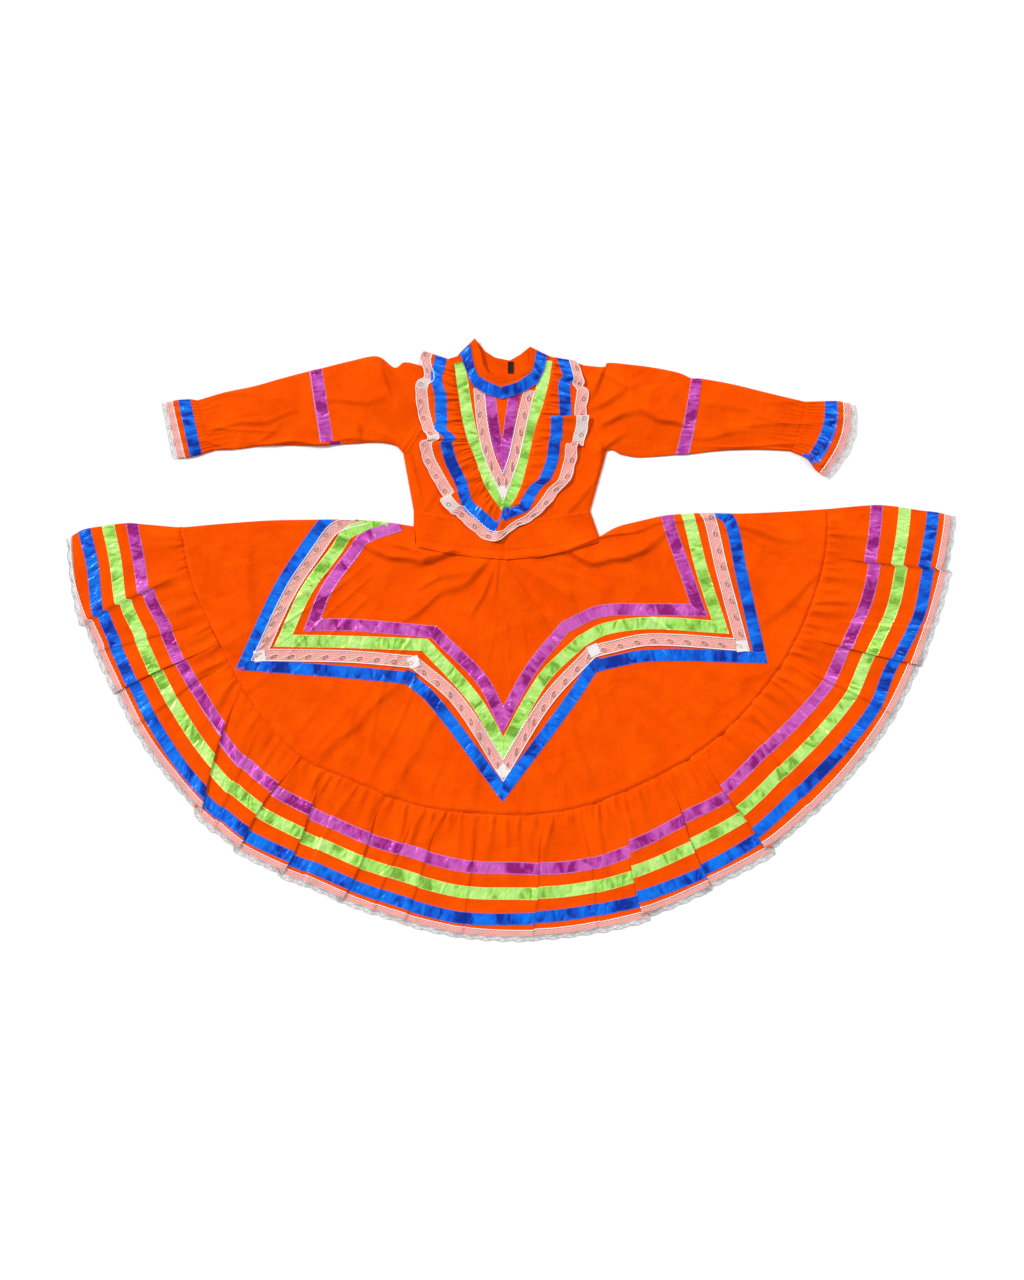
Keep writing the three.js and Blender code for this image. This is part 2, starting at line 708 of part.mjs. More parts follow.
const yoke = ringNet(neckSeam, yokeEdge, [0, 0.5, 1], BODY_COLUMNS, onFront, { inner: GAP, outer: 0 });
add("yoke", wall(yoke, 0, CLOTH), "orange");

const collar = ringNet(neckTop, neckSeam, [0, 0.35, 1], BODY_COLUMNS, onFront, { inner: 0, outer: GAP });
add("collar_front", wall(collar, 0, CLOTH), "orange");
const collarRibbon = ringNet(neckRibbon, neckSeam, [0, 1], BODY_COLUMNS, onFront, { inner: 0, outer: 2 * GAP });
add("collar_ribbon", wall(collarRibbon, CLOTH + GAP, CLOTH + GAP + TRIM), "blue", 0.35);

// Middle lines of the three V bands on the yoke, down one side, round the tip and up the other.
const YOKE_BANDS = {
  green: [
    [60, 474], [54, 440], [45, 404], [37, 372], [28, 338], [20, 304], [8, 268], [-3, 243],
    [-13, 233], [-25, 247], [-41, 272], [-54, 304], [-66, 338], [-74, 372], [-80, 406], [-85, 440], [-90, 470],
  ],
  lace: [[30, 420], [24, 400], [17, 372], [10, 338], [2, 304], [-15, 258], [-36, 304], [-45, 338], [-51, 372], [-56, 424]],
  purple: [[3, 412], [-3, 372], [-8, 338], [-15, 308], [-26, 338], [-32, 372], [-36, 412]],
};
let yokeOutside = [];
for (const [band, points] of Object.entries(YOKE_BANDS)) {
  const middle = points.map(([x, y]) => ({ x, y }));
  const width = band === "lace" ? 19 : 18;
  add("yoke_" + band, overlay(yoke, bandOutline(middle, width), yokeOutside), band, 0.4);
  yokeOutside = [bandOutline(middle, width + 2 * GAP)];
}

// ---------------------------------------------------------------- back of the neck and bodice

const BACK_NECK = table("t x y lowX lowY", [
  [0, 30, 497, 60, 480],
  [0.22, 14, 484, 38, 455],
  [0.42, -4, 474, 8, 445],
  [0.6, -29, 479, -30, 445],
  [0.78, -46, 490, -66, 455],
  [1, -63, 511, -88, 483],
]);
const backNeckTop = tableCurve(BACK_NECK, "x", "y");
const backNeckSeam = tableCurve(BACK_NECK, "lowX", "lowY");
add("collar_back", wall(ringNet(backNeckTop, backNeckSeam, [0, 1], 10, flat), 0, CLOTH), "orange");

// Top edge of the back: underarm, armhole, shoulder and neck seam, then down the other side.
const backTop = piecewise([
  { columns: 4, curve: (t) => besideArmhole("left", 1 - t) },
  { columns: 2, curve: (t) => mix(besideArmhole("left", 0), backNeckSeam(0), t) },
  { columns: 10, curve: backNeckSeam },
  { columns: 2, curve: (t) => mix(backNeckSeam(1), besideArmhole("right", 0), t) },
  { columns: 4, curve: (t) => besideArmhole("right", t) },
]);
const bodiceBack = ringNet(waistTop, backTop, [0, 1], 22, flat, { inner: GAP, outer: GAP });
add("bodice_back", wall(bodiceBack, 0, CLOTH), "orange");

// A blank label sewn inside the back of the collar.
const LABEL = { x: -2, y: 462, width: 9, height: 20 };
const label = new THREE.BoxGeometry(LABEL.width, LABEL.height, TRIM);
label.translate(LABEL.x, LABEL.y, FRONT + TRIM / 2);
add("neck_label", label, "dark");

// ---------------------------------------------------------------- bib ruffle

// Folds of the ruffle: where each meets the yoke seam, its outer end, its height, the side on
// top and the place of the blue ribbon's middle as a share of the ruffle's width.
const RUFFLE = table("t x y lift over ribbon", [
  [0, 108, 471, 2, 1, 0.44],
  [0.07, 121, 436, 5, 1, 0.42],
  [0.14, 129, 410, 3, -1, 0.42],
  [0.2, 125, 384, 6, 1, 0.42],
  [0.27, 122, 342, 4, 1, 0.44],
  [0.34, 108, 300, 3, -1, 0.42],
  [0.4, 95, 270, 5, 1, 0.38],
  [0.45, 68, 237, 6, -1, 0.36],
  [0.495, 30, 201, 3, 1, 0.36],
  [0.53, -20, 169, 4, 1, 0.45],
  [0.565, -60, 178, 5, -1, 0.5],
  [0.6, -95, 212, 6, 1, 0.46],
  [0.645, -118, 242, 4, 1, 0.42],
  [0.7, -139, 282, 3, -1, 0.4],
  [0.76, -156, 322, 6, 1, 0.42],
  [0.81, -149, 345, 4.5, -1, 0.44],
  [0.86, -158, 385, 3, 1, 0.46],
  [0.92, -163, 425, 6, -1, 0.5],
  [0.96, -150, 450, 4, 1, 0.46],
  [1, -151, 488, 1.5, 1, 0.44],
]);
const RUFFLE_CLEAR = 0.9; // how far the ruffle's flare floats over the bodice
const RUFFLE_LACE = 20;
const RUFFLE_ROWS = [0, 0.12, 0.27, 1];

function ruffleColumns() {
  const columns = [];
  for (let k = 0; k < RUFFLE.length - 1; k++) {
    const [a, b] = [RUFFLE[k], RUFFLE[k + 1]];
    const stops = [[0, a.over > 0 ? 0 : a.lift], [0.16, a.over > 0 ? a.lift : 0], [0.55, 0.8]];
    for (const [share, lift] of stops)
      columns.push({
        t: lerp(a.t, b.t, share),
        x: lerp(a.x, b.x, share),
        y: lerp(a.y, b.y, share),
        ribbon: lerp(a.ribbon, b.ribbon, share),
        lift,
      });
  }
  const { t, x, y, ribbon } = RUFFLE[RUFFLE.length - 1];
  columns.push({ t, x, y, ribbon, lift: 1 });
  return columns;
}

// Highest point of the cloth beneath, near a place.
function highestNear(p) {
  const reach = 14;
  const around = [[0, 0], [reach, 0], [-reach, 0], [0, reach], [0, -reach]];
  return Math.max(...around.map(([dx, dy]) => frontHeight(p.x + dx, p.y + dy)));
}

const RUFFLE_COLUMNS = ruffleColumns();
const rufflePoints = RUFFLE_COLUMNS.map((column, c) => {
  const seam = yokeEdge(column.t);
  const outward = new THREE.Vector2(column.x - seam.x, column.y - seam.y).normalize();
  const start = { x: seam.x + outward.x * 2 * GAP, y: seam.y + outward.y * 2 * GAP };
  return RUFFLE_ROWS.map((v, r) => {
    const p = mix(start, column, v);
    const wave = [0, 0.3, 1, 1][r] * column.lift + (r === 1 && c % 2 ? 1 : 0);
    const clear = r === 0 ? GAP : GAP + RUFFLE_CLEAR;
    return new THREE.Vector3(p.x, p.y, highestNear(p) + CLOTH + clear + wave);
  });
});
const ruffle = netOf(rufflePoints, [0]);
add("bib_ruffle", wall(ruffle, 0, CLOTH), "orange");

function ruffleBand(from, to) {
  const first = RUFFLE_ROWS[2];
  const share = (v) => (v - first) / (1 - first);
  const strip = stripOf(ruffle, (c) => share(from(c)), (c) => share(to(c)));
  return wall(strip, CLOTH + WAVE_GAP, CLOTH + WAVE_GAP + TRIM);
}

const ruffleWidth = (c) => rufflePoints[c][0].distanceTo(rufflePoints[c][3]);
const halfRibbon = (c) => RIBBON / 2 / ruffleWidth(c);
const ribbonFrom = (c) => Math.max(RUFFLE_COLUMNS[c].ribbon - halfRibbon(c), RUFFLE_ROWS[2]);
const ribbonTo = (c) => Math.min(RUFFLE_COLUMNS[c].ribbon + halfRibbon(c), laceFrom(c) - 0.03);
const laceFrom = (c) => 1 - RUFFLE_LACE / ruffleWidth(c);
add("ruffle_ribbon", ruffleBand(ribbonFrom, ribbonTo), "blue", 0.35);
add("ruffle_lace", ruffleBand(laceFrom, () => 1), "lace", 0.9);

// ---------------------------------------------------------------- sleeves

// Sections from the armhole to the cuff seam: the ends on the upper and the underarm edge,
// the curve of the section towards the cuff and the room inside.
const SLEEVES = {
  right: table("topX topY lowX lowY bow room", [
    [-149, 464, -185, 316, -ARMHOLE_BOW, 0], // as the armhole
    [-182, 471, -197, 328, -8, 1.2],
    [-200, 462, -216, 333, 0, 2],
    [-229.5, 481, -238, 334, 0, 2.6],
    [-275, 473, -272, 332, 0, 2.6],
    [-323, 461, -303, 330, 0, 2.6],
    [-345, 456, -325, 328, 0, 2.6],
    [-394, 443, -381, 329, 0, 2.6],
    [-440, 430, -425, 328, 0, 2.6],
    [-488, 420, -466, 323, 0, 2.4],
    [-536, 406, -507, 321, 0, 1],
  ]),
  left: table("topX topY lowX lowY bow room", [
    [121, 466, 161.5, 320, -ARMHOLE_BOW, 0], // as the armhole
    [156, 463, 172, 321, -8, 1.2],
    [164, 470, 185, 314, 0, 2],
    [201, 467, 212, 309, 0, 2.6],
    [243, 461.5, 243, 310, 0, 2.6],
    [284, 453, 266, 312, 0, 2.6],
    [305, 444, 278, 313, 0, 2.6],
    [323, 443, 301, 314, 0, 2.6],
    [376, 433.5, 354, 320, 0, 2.6],
    [439, 418, 413, 322, 0, 2.4],
    [498, 404, 473, 320, 4, 1],
  ]),
};
const CUFFS = {
  right: table("topX topY lowX lowY bow room", [
    [-537, 406, -508, 320.5, 0, 1],
    [-547, 408, -527, 314, 0, 1.4],
    [-568, 407, -547, 309, 0, 2],
    [-578, 405, -556, 308, 0, 2],
    [-588, 403, -568, 307, 0, 2],
  ]),
  left: table("topX topY lowX lowY bow room", [
    [499, 404, 474, 320, 4, 1],
    [532, 405, 500, 307, 10, 1.4],
    [554, 405, 515, 289, 14, 2],
    [564, 403, 524, 282, 15, 2],
    [575, 401, 531, 277, 17, 2],
  ]),
};
const ACROSS = 10; // columns over the upper side of a sleeve
const UNDER = 4; // and over the flat lower side
const BAND_ROW = { right: 5, left: 6 }; // the section where the purple band starts
const CUFF_WAVES = 2.4; // height of the frill's waves at its edge

// A point on a section; `side` is 1 on the wearer's left and -1 on the right.
function sectionPoint(section, t, side) {
  const p = mix({ x: section.topX, y: section.topY }, { x: section.lowX, y: section.lowY }, t);
  p.x += side * section.bow * Math.sin(Math.PI * t);
  return p;
}

// An open flattened tube: its lower side on the table, its upper side over the room inside.
function flattenedTube(sections, side, wave) {
  const ring = (section, s, inset) => {
    const width = Math.hypot(section.topX - section.lowX, section.topY - section.lowY);
    const edge = inset / width;
    const points = [];
    for (let k = 0; k <= UNDER; k++) {
      const p = sectionPoint(section, lerp(edge, 1 - edge, k / UNDER), side);
      points.push(new THREE.Vector3(p.x, p.y, inset ? CLOTH : 0));
    }
    for (let k = ACROSS; k >= 0; k--) {
      const t = lerp(edge, 1 - edge, k / ACROSS);
      const p = sectionPoint(section, t, side);
      const height = upperHeight(section, t, side, wave(s, k));
      points.push(new THREE.Vector3(p.x, p.y, height + (inset ? 0 : CLOTH)));
    }
    return points;
  };
  const outer = sections.map((section, s) => ring(section, s, 0));
  const inner = sections.map((section, s) => ring(section, s, CLOTH));
  return tubeGeometry(outer, inner);
}

// Height of the upper side's inner face.
function upperHeight(section, t, side, wave) {
  const p = sectionPoint(section, t, side);
  const edge = Math.min(1, 5 * Math.min(t, 1 - t) + 0.05);
  return FRONT + section.room * Math.sin(Math.PI * t) ** 0.7 + (creaseLift(p.x, p.y) + wave) * edge;
}

function tubeGeometry(outer, inner) {
  const around = outer[0].length;
  const along = outer.length;
  const positions = [...outer, ...inner].flat().flatMap((p) => p.toArray());
  const at = (shell, s, k) => (shell * along + s) * around + (k % around);
  const indices = [];
  const quad = (a, b, c, d) => indices.push(a, b, c, a, c, d);
  for (let k = 0; k < around; k++) {
    for (let s = 0; s < along - 1; s++) {
      quad(at(0, s, k), at(0, s + 1, k), at(0, s + 1, k + 1), at(0, s, k + 1));
      quad(at(1, s, k), at(1, s, k + 1), at(1, s + 1, k + 1), at(1, s + 1, k));
    }
    quad(at(0, 0, k), at(0, 0, k + 1), at(1, 0, k + 1), at(1, 0, k));
    const end = along - 1;
    quad(at(0, end, k), at(1, end, k), at(1, end, k + 1), at(0, end, k + 1));
  }
  return closedGeometry(positions, indices);
}

// A strip on the upper side of a tube between two of its sections.
function tubeStrip(sections, side, wave, first, last) {
  const points = [];
  for (let k = ACROSS; k >= 0; k--) {
    const t = k / ACROSS;
    points.push(
      [first, last].map((s) => {
        const p = sectionPoint(sections[s], t, side);
        return new THREE.Vector3(p.x, p.y, upperHeight(sections[s], t, side, wave(s, k)));
      }),
    );
  }
  return wall(netOf(points), CLOTH + GAP, CLOTH + GAP + TRIM);
}

const noWave = () => 0;
const frillWave = (s, k) => (CUFF_WAVES * Math.min(s, 3) * (k % 2)) / 3;
const LACE_END = { right: [-597, 402, -578, 306, 0, 2], left: [585, 398, 538, 270, 19, 2] };

for (const [name, side] of Object.entries({ right: -1, left: 1 })) {
  const sleeve = SLEEVES[name];
  const cuff = CUFFS[name];
  add("sleeve_" + name, flattenedTube(sleeve, side, noWave), "orange");
  const band = BAND_ROW[name];
  add("sleeve_band_" + name, tubeStrip(sleeve, side, noWave, band, band + 1), "purple", 0.35);
  add("cuff_frill_" + name, flattenedTube(cuff, side, frillWave), "orange");
  add("cuff_ribbon_" + name, tubeStrip(cuff, side, frillWave, 1, 2), "blue", 0.35);
  const [lace] = table("topX topY lowX lowY bow room", [LACE_END[name]]);
  const withLace = [...cuff.slice(0, 4), lace];
  add("cuff_lace_" + name, tubeStrip(withLace, side, frillWave, 3, 4), "lace", 0.9);
}

export default dress;
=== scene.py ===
import math

import bpy
import numpy as np
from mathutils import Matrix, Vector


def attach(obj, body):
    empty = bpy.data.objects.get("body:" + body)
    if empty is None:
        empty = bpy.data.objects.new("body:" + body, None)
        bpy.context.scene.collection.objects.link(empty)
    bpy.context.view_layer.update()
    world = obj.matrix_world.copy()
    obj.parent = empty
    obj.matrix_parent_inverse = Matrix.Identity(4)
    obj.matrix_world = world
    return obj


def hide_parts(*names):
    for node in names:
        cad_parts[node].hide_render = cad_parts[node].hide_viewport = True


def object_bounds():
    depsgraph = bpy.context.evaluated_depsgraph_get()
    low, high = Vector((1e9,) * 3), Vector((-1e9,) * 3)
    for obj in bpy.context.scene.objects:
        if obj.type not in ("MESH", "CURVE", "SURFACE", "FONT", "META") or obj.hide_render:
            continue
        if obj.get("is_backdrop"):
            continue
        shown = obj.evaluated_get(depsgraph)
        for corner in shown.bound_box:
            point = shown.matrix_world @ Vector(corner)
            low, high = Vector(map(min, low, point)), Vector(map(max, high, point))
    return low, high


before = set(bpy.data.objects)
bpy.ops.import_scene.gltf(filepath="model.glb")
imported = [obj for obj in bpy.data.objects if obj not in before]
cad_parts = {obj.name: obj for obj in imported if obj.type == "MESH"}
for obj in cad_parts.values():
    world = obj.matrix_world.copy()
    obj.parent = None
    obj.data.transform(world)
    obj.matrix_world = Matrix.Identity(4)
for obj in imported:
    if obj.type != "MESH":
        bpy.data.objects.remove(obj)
cad_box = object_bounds()

# ==== The table, the lamps and the view ====
# A matt white table top carries the dress. A soft lamp shines from beyond the right cuff,
# a weaker one from beyond the collar, the room is white, and the view is straight down.

scene = bpy.context.scene
scene.view_settings.view_transform = "Standard"
scene.view_settings.look = "None"
scene.view_settings.exposure = 0.0

world = bpy.data.worlds.new("studio")
world.use_nodes = True
world.node_tree.nodes["Background"].inputs["Color"].default_value = (1.0, 1.0, 1.0, 1.0)
world.node_tree.nodes["Background"].inputs["Strength"].default_value = 0.4
scene.world = world


def add_object(name, data):
    made = bpy.data.objects.new(name, data)
    scene.collection.objects.link(made)
    return made


def new_material(name, roughness, specular):
    """A new material, with its node tree and its shader."""
    made = bpy.data.materials.new(name)
    made.use_nodes = True
    shader = made.node_tree.nodes["Principled BSDF"]
    shader.inputs["Roughness"].default_value = roughness
    shader.inputs["Specular IOR Level"].default_value = specular
    return made, made.node_tree, shader


table_mesh = bpy.data.meshes.new("table_top")
table_mesh.from_pydata([(-6, -6, 0), (6, -6, 0), (6, 6, 0), (-6, 6, 0)], [], [(0, 1, 2, 3)])
table_top = add_object("table_top", table_mesh)
white_board, _, board_shader = new_material("white_board", 0.9, 0.1)
board_shader.inputs["Base Color"].default_value = (0.97, 0.97, 0.97, 1.0)
table_mesh.materials.append(white_board)
table_top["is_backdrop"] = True


def soft_lamp(name, place, strength, spread):
    """A large, far lamp that shines evenly over the whole table."""
    lamp = bpy.data.lights.new(name, "SUN")
    lamp.energy = strength
    lamp.angle = math.radians(spread)
    stand = add_object(name, lamp)
    stand.location = place
    stand.rotation_euler = stand.location.to_track_quat("Z", "Y").to_euler()


soft_lamp("key_lamp", (-2.6, 1.7, 1.9), 2.9, 9)
soft_lamp("fill_lamp", (1.5, 2.4, 2.0), 1.15, 14)

view = bpy.data.cameras.new("view_from_above")
view.lens = 50.0
view.sensor_width = 36.0
camera = add_object("view_from_above", view)
camera.location = (0.0, -0.0017, 3.0264)
scene.camera = camera

# ==== Skirt back ====
# The rear half of a full circle skirt in plain orange poplin, flat on the table. Its side
# edges are folds of the one circle, and its waist edge is sewn into the waistband.

# Lengths in this file are in millimetres and angles in degrees, turned from +X towards -Y
# about the centre of the circle skirt. `cloth` makes metres of them.
DISC_Y = 236.0
SKIRT_END = (1.6, 175.3)
CLOTH = 0.5


def table(header, rows):
    """Rows of numbers as named columns."""
    return {name: np.array(column, float) for name, column in zip(header.split(), zip(*rows))}


def smooth(rows, key, column, at):
    """The named column at `at`, on a curve through the rows."""
    x, y = rows[key], rows[column]
    slope = np.empty_like(y)
    slope[1:-1] = (y[2:] - y[:-2]) / (x[2:] - x[:-2])
    slope[0] = (y[1] - y[0]) / (x[1] - x[0])
    slope[-1] = (y[-1] - y[-2]) / (x[-1] - x[-2])
    at = np.asarray(at, float)
    i = np.clip(np.searchsorted(x, at, side="right") - 1, 0, len(x) - 2)
    step = x[i + 1] - x[i]
    f = np.clip((at - x[i]) / step, 0.0, 1.0)
    f2, f3 = f * f, f * f * f
    ends = (2 * f3 - 3 * f2 + 1) * y[i] + (3 * f2 - 2 * f3) * y[i + 1]
    return ends + step * ((f3 - 2 * f2 + f) * slope[i] + (f3 - f2) * slope[i + 1])


def straight(rows, key, column, at):
    return np.interp(at, rows[key], rows[column])


def ease(f):
    """A smooth step from 0 to 1."""
    f = np.clip(f, 0.0, 1.0)
    return f * f * (3.0 - 2.0 * f)


def wander(x, y, size, seed):
    """An uneven field between about -1 and 1, with bumps `size` across."""
    draw = np.random.default_rng(seed)
    total = 0.0
    for _ in range(8):
        turn = draw.uniform(0, 2 * math.pi)
        pace = 2 * math.pi / size * draw.uniform(0.55, 1.5)
        total = total + np.sin(pace * (x * math.cos(turn) + y * math.sin(turn)) + draw.uniform(0, 6.3))
    return total / 3.2


def node(tree, kind, settings=None, **inputs):
    """Adds a node. Each input is a value or another node's socket; `i0` is the first one."""
    made = tree.nodes.new(kind)
    for key, value in (settings or {}).items():
        setattr(made, key, value)
    for key, value in inputs.items():
        numbered = key[0] == "i" and key[1:].isdigit()
        socket = made.inputs[int(key[1:]) if numbered else key.replace("_", " ")]
        if isinstance(value, bpy.types.NodeSocket):
            tree.links.new(value, socket)
        else:
            socket.default_value = value
    return made


def sums(tree, operation, *values):
    values = {f"i{k}": value for k, value in enumerate(values)}
    return node(tree, "ShaderNodeMath", {"operation": operation}, **values).outputs[0]


def noise(tree, at, scale, detail, roughness=0.5, distortion=0.0):
    inputs = {"Vector": at, "Scale": scale, "Detail": detail, "Roughness": roughness, "Distortion": distortion}
    return node(tree, "ShaderNodeTexNoise", **inputs).outputs[0]


def stretch(tree, at, scale, turned=0.0):
    return node(tree, "ShaderNodeMapping", Vector=at, Rotation=(0.0, 0.0, turned), Scale=scale).outputs[0]


def cut_place(tree):
    """The place on the flat cut, in metres along and across the cloth."""
    return node(tree, "ShaderNodeUVMap", {"uv_map": "cut"}).outputs["UV"]


def coloured(tree, shader, share, first, second):
    """Gives a shader a colour between two. The first may be another node's socket."""
    first = first if isinstance(first, bpy.types.NodeSocket) else (*first, 1.0)
    mix = node(tree, "ShaderNodeMix", {"data_type": "RGBA"}, Factor=share, i6=first, i7=(*second, 1.0))
    tree.links.new(mix.outputs[2], shader.inputs["Base Color"])


def bumped(tree, shader, *layers):
    """Gives a shader bumps, each a strength, a depth in metres and a height, one over another."""
    normal = {}
    for strength, depth, height in layers:
        bump = node(tree, "ShaderNodeBump", Strength=strength, Distance=depth, Height=height, **normal)
        normal = {"Normal": bump.outputs[0]}
    tree.links.new(normal["Normal"], shader.inputs["Normal"])


def shader_group(name, inputs, outputs):
    """A node group for materials, with its inner ends of the inputs and outputs."""
    group = bpy.data.node_groups.new(name, "ShaderNodeTree")
    for label, value in inputs.items():
        socket = group.interface.new_socket(name=label, in_out="INPUT", socket_type="NodeSocketFloat")
        socket.default_value = value
    for label in outputs:
        group.interface.new_socket(name=label, in_out="OUTPUT", socket_type="NodeSocketFloat")
    return group, group.nodes.new("NodeGroupInput").outputs, group.nodes.new("NodeGroupOutput").inputs


# Plain weave: threads over and under each other, with thicker threads here and there.
weave, given, result = shader_group("plain_weave", {"Threads per metre": 2600.0}, ["Height", "Tone"])
along = cut_place(weave)
split = node(weave, "ShaderNodeSeparateXYZ", Vector=along)
waves = []
for axis in ("X", "Y"):
    turns = sums(weave, "MULTIPLY", split.outputs[axis], given["Threads per metre"])
    waves.append(sums(weave, "SINE", sums(weave, "MULTIPLY", turns, math.pi)))
weave.links.new(sums(weave, "MULTIPLY", *waves), result["Height"])
slubs = [noise(weave, stretch(weave, along, scale), 1.0, 2.0) for scale in ((900, 26, 1), (26, 900, 1))]
weave.links.new(sums(weave, "MULTIPLY", sums(weave, "ADD", *slubs), 0.5), result["Tone"])

# Small wrinkles that a worn and folded cotton keeps. Their tone is the same noise as their height, and it
# darkens the cloth where they sink: painted shade.
crumple, given, result = shader_group("soft_wrinkles", {"Size": 18.0}, ["Height", "Tone"])
spot = node(crumple, "ShaderNodeTexCoord").outputs["Object"]
broad = noise(crumple, spot, given["Size"], 3.0, 0.55, 0.6)
finer = noise(crumple, spot, sums(crumple, "MULTIPLY", given["Size"], 3.2), 2.0, 0.5, 0.3)
crumple.links.new(sums(crumple, "ADD", broad, sums(crumple, "MULTIPLY", finer, 0.25)), result["Height"])
crumple.links.new(broad, result["Tone"])


def poplin(name, deep, bright):
    """Dyed cotton poplin: matt, closely woven, with painted shade in the hollows of its small wrinkles."""
    made, tree, shader = new_material(name, 0.82, 0.2)
    woven = node(tree, "ShaderNodeGroup", {"node_tree": weave}, Threads_per_metre=2600.0)
    wrinkles_with_painted_shade = node(tree, "ShaderNodeGroup", {"node_tree": crumple}, Size=18.0)
    halves = [sums(tree, "MULTIPLY", part.outputs["Tone"], 0.5) for part in (woven, wrinkles_with_painted_shade)]
    # The colour is darker where the wrinkles sink, which is painted shade, and it varies at random along the
    # thicker threads.
    shade = node(tree, "ShaderNodeMapRange", Value=sums(tree, "ADD", *halves), From_Min=0.36, From_Max=0.64)
    coloured(tree, shader, shade.outputs[0], deep, bright)
    bumped(tree, shader, (0.8, 0.003, wrinkles_with_painted_shade.outputs["Height"]), (0.25, 0.00012, woven.outputs["Height"]))
    for tint in ("Specular Tint", "Sheen Tint"):
        shader.inputs[tint].default_value = (*bright, 1.0)
    shader.inputs["Sheen Weight"].default_value = 0.06
    shader.inputs["Sheen Roughness"].default_value = 0.4
    return made


orange = poplin("orange_poplin", (0.8, 0.062, 0.0003), (0.96, 0.096, 0.0006))


def normals_of(grid, closed=False):
    """The direction straight out of the cloth at each point of its grid."""
    if closed:
        across = np.roll(grid, -1, 0) - np.roll(grid, 1, 0)
    else:
        across = np.gradient(grid, axis=0)
    n = np.cross(across, np.gradient(grid, axis=1))
    return n / np.maximum(np.linalg.norm(n, axis=2, keepdims=True), 1e-9)


def cut_lengths(grid):
    """How far each point is from the grid's first edges, along the cloth."""
    along = np.linalg.norm(np.diff(grid, axis=0), axis=2).mean(axis=1)
    down = np.linalg.norm(np.diff(grid, axis=1), axis=2)
    u = np.concatenate([[0], np.cumsum(along)])[:, None] + np.zeros(grid.shape[1])
    v = np.concatenate([np.zeros((grid.shape[0], 1)), np.cumsum(down, axis=1)], axis=1)
    return np.stack([u, v], axis=2)


def cloth(name, grid, finish, thick=CLOTH, closed=False, cut=None):
    """A cloth with a real wall, whose face is a grid of points in millimetres."""
    n = normals_of(grid, closed)
    cut = cut_lengths(grid) if cut is None else cut
    outward = n[..., 2].mean()
    if closed:
        outward = ((grid - grid.mean(axis=(0, 1))) * n).sum(axis=2).mean()
    if outward < 0:
        grid, n, cut = grid[:, ::-1], -n[:, ::-1], cut[:, ::-1]
    columns, rows = grid.shape[:2]
    points = np.concatenate([grid.reshape(-1, 3), (grid - thick * n).reshape(-1, 3)]) * 0.001
    at = np.arange(columns * rows).reshape(columns, rows)
    if closed:
        at = np.vstack([at, at[:1]])
    below = at + columns * rows
    quads = []

    def face(a, b, c, d):
        quads.append(np.stack([a, b, c, d], axis=-1).reshape(-1, 4))

    face(at[:-1, :-1], at[1:, :-1], at[1:, 1:], at[:-1, 1:])
    face(below[:-1, :-1], below[:-1, 1:], below[1:, 1:], below[1:, :-1])
    face(at[1:, 0], at[:-1, 0], below[:-1, 0], below[1:, 0])
    face(at[:-1, -1], at[1:, -1], below[1:, -1], below[:-1, -1])
    if not closed:
        face(at[0, :-1], at[0, 1:], below[0, 1:], below[0, :-1])
        face(at[-1, 1:], at[-1, :-1], below[-1, :-1], below[-1, 1:])
    quads = np.concatenate(quads)
    mesh = bpy.data.meshes.new(name)
    mesh.from_pydata(points.tolist(), [], quads.tolist())
    layer = mesh.uv_layers.new(name="cut")
    flat = np.tile(cut.reshape(-1, 2) * 0.001, (2, 1))
    layer.data.foreach_set("uv", flat[quads.reshape(-1)].astype(np.float32).reshape(-1))
    mesh.polygons.foreach_set("use_smooth", [True] * len(mesh.polygons))
    mesh.set_sharp_from_angle(angle=math.radians(65))
    mesh.materials.append(finish)
    piece = add_object(name, mesh)
    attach(piece, "root")
    return piece


def raised(grid, by):
    """The grid moved up off its cloth."""
    n = normals_of(grid)
    return grid + by * (n if n[..., 2].mean() > 0 else -n)


def shares(columns, rows, low=0.0, high=1.0):
    """Shares along and across a cloth, for each point of its grid."""
    return np.meshgrid(np.linspace(0, 1, columns), np.linspace(low, high, rows), indexing="ij")


def polar(angle, radius):
    """A place at an angle and a radius about the circle skirt's centre."""
    turn = np.radians(angle)
    return radius * np.cos(turn), DISC_Y - radius * np.sin(turn)


def points(x, y, z):
    return np.stack(np.broadcast_arrays(x, y, z), axis=-1).astype(float)


# Radii at the flounce's seam, the middles of two of its ribbons and the lace's outer edge.
DISC_RADII = table("angle seam purple blue hem", [
    (2, 536, 622, 718, 757), (10, 539, 622, 714, 753), (16, 538, 625, 718, 752),
    (24, 537, 619, 706, 749), (30, 536, 621, 710, 748), (37, 534, 612, 703, 745),
    (46, 533, 606, 698, 742), (54, 531, 616, 706, 745), (62, 529, 615, 709, 743),
    (70, 530, 624, 711, 748), (79, 534, 632, 711, 750), (90, 534, 625, 712, 750),
    (97, 534, 627, 715, 749), (107, 542, 622, 708, 744), (117, 545, 627, 710, 745),
    (123, 553, 629, 716, 752), (129, 564, 636, 726, 760), (137, 563, 637, 726, 756),
    (147, 556, 626, 719, 755), (154, 552, 628, 716, 753), (160, 556, 630, 719, 757),
    (165, 560, 641, 726, 763), (171, 562, 643, 722, 762), (176, 565, 649, 731, 759),
])
WAIST = table("t x y", [
    (0, 150.5, 175), (0.079, 150.5, 167.5), (0.22, 99, 152), (0.37, 48, 142), (0.52, -11, 137),
    (0.68, -71, 142), (0.82, -122, 150), (0.921, -168, 159), (1, -171, 192),
])
SIDE_BOW = table("v right left", [
    (0, 0, 0), (0.07, 12, 5), (0.18, 18, 10), (0.29, 22, 12), (0.44, 19, 12), (0.62, 10, 11),
    (0.82, 4, 6), (1, 0, 0),
])


def ring_radius(ring, angle):
    return smooth(DISC_RADII, "angle", ring, angle)


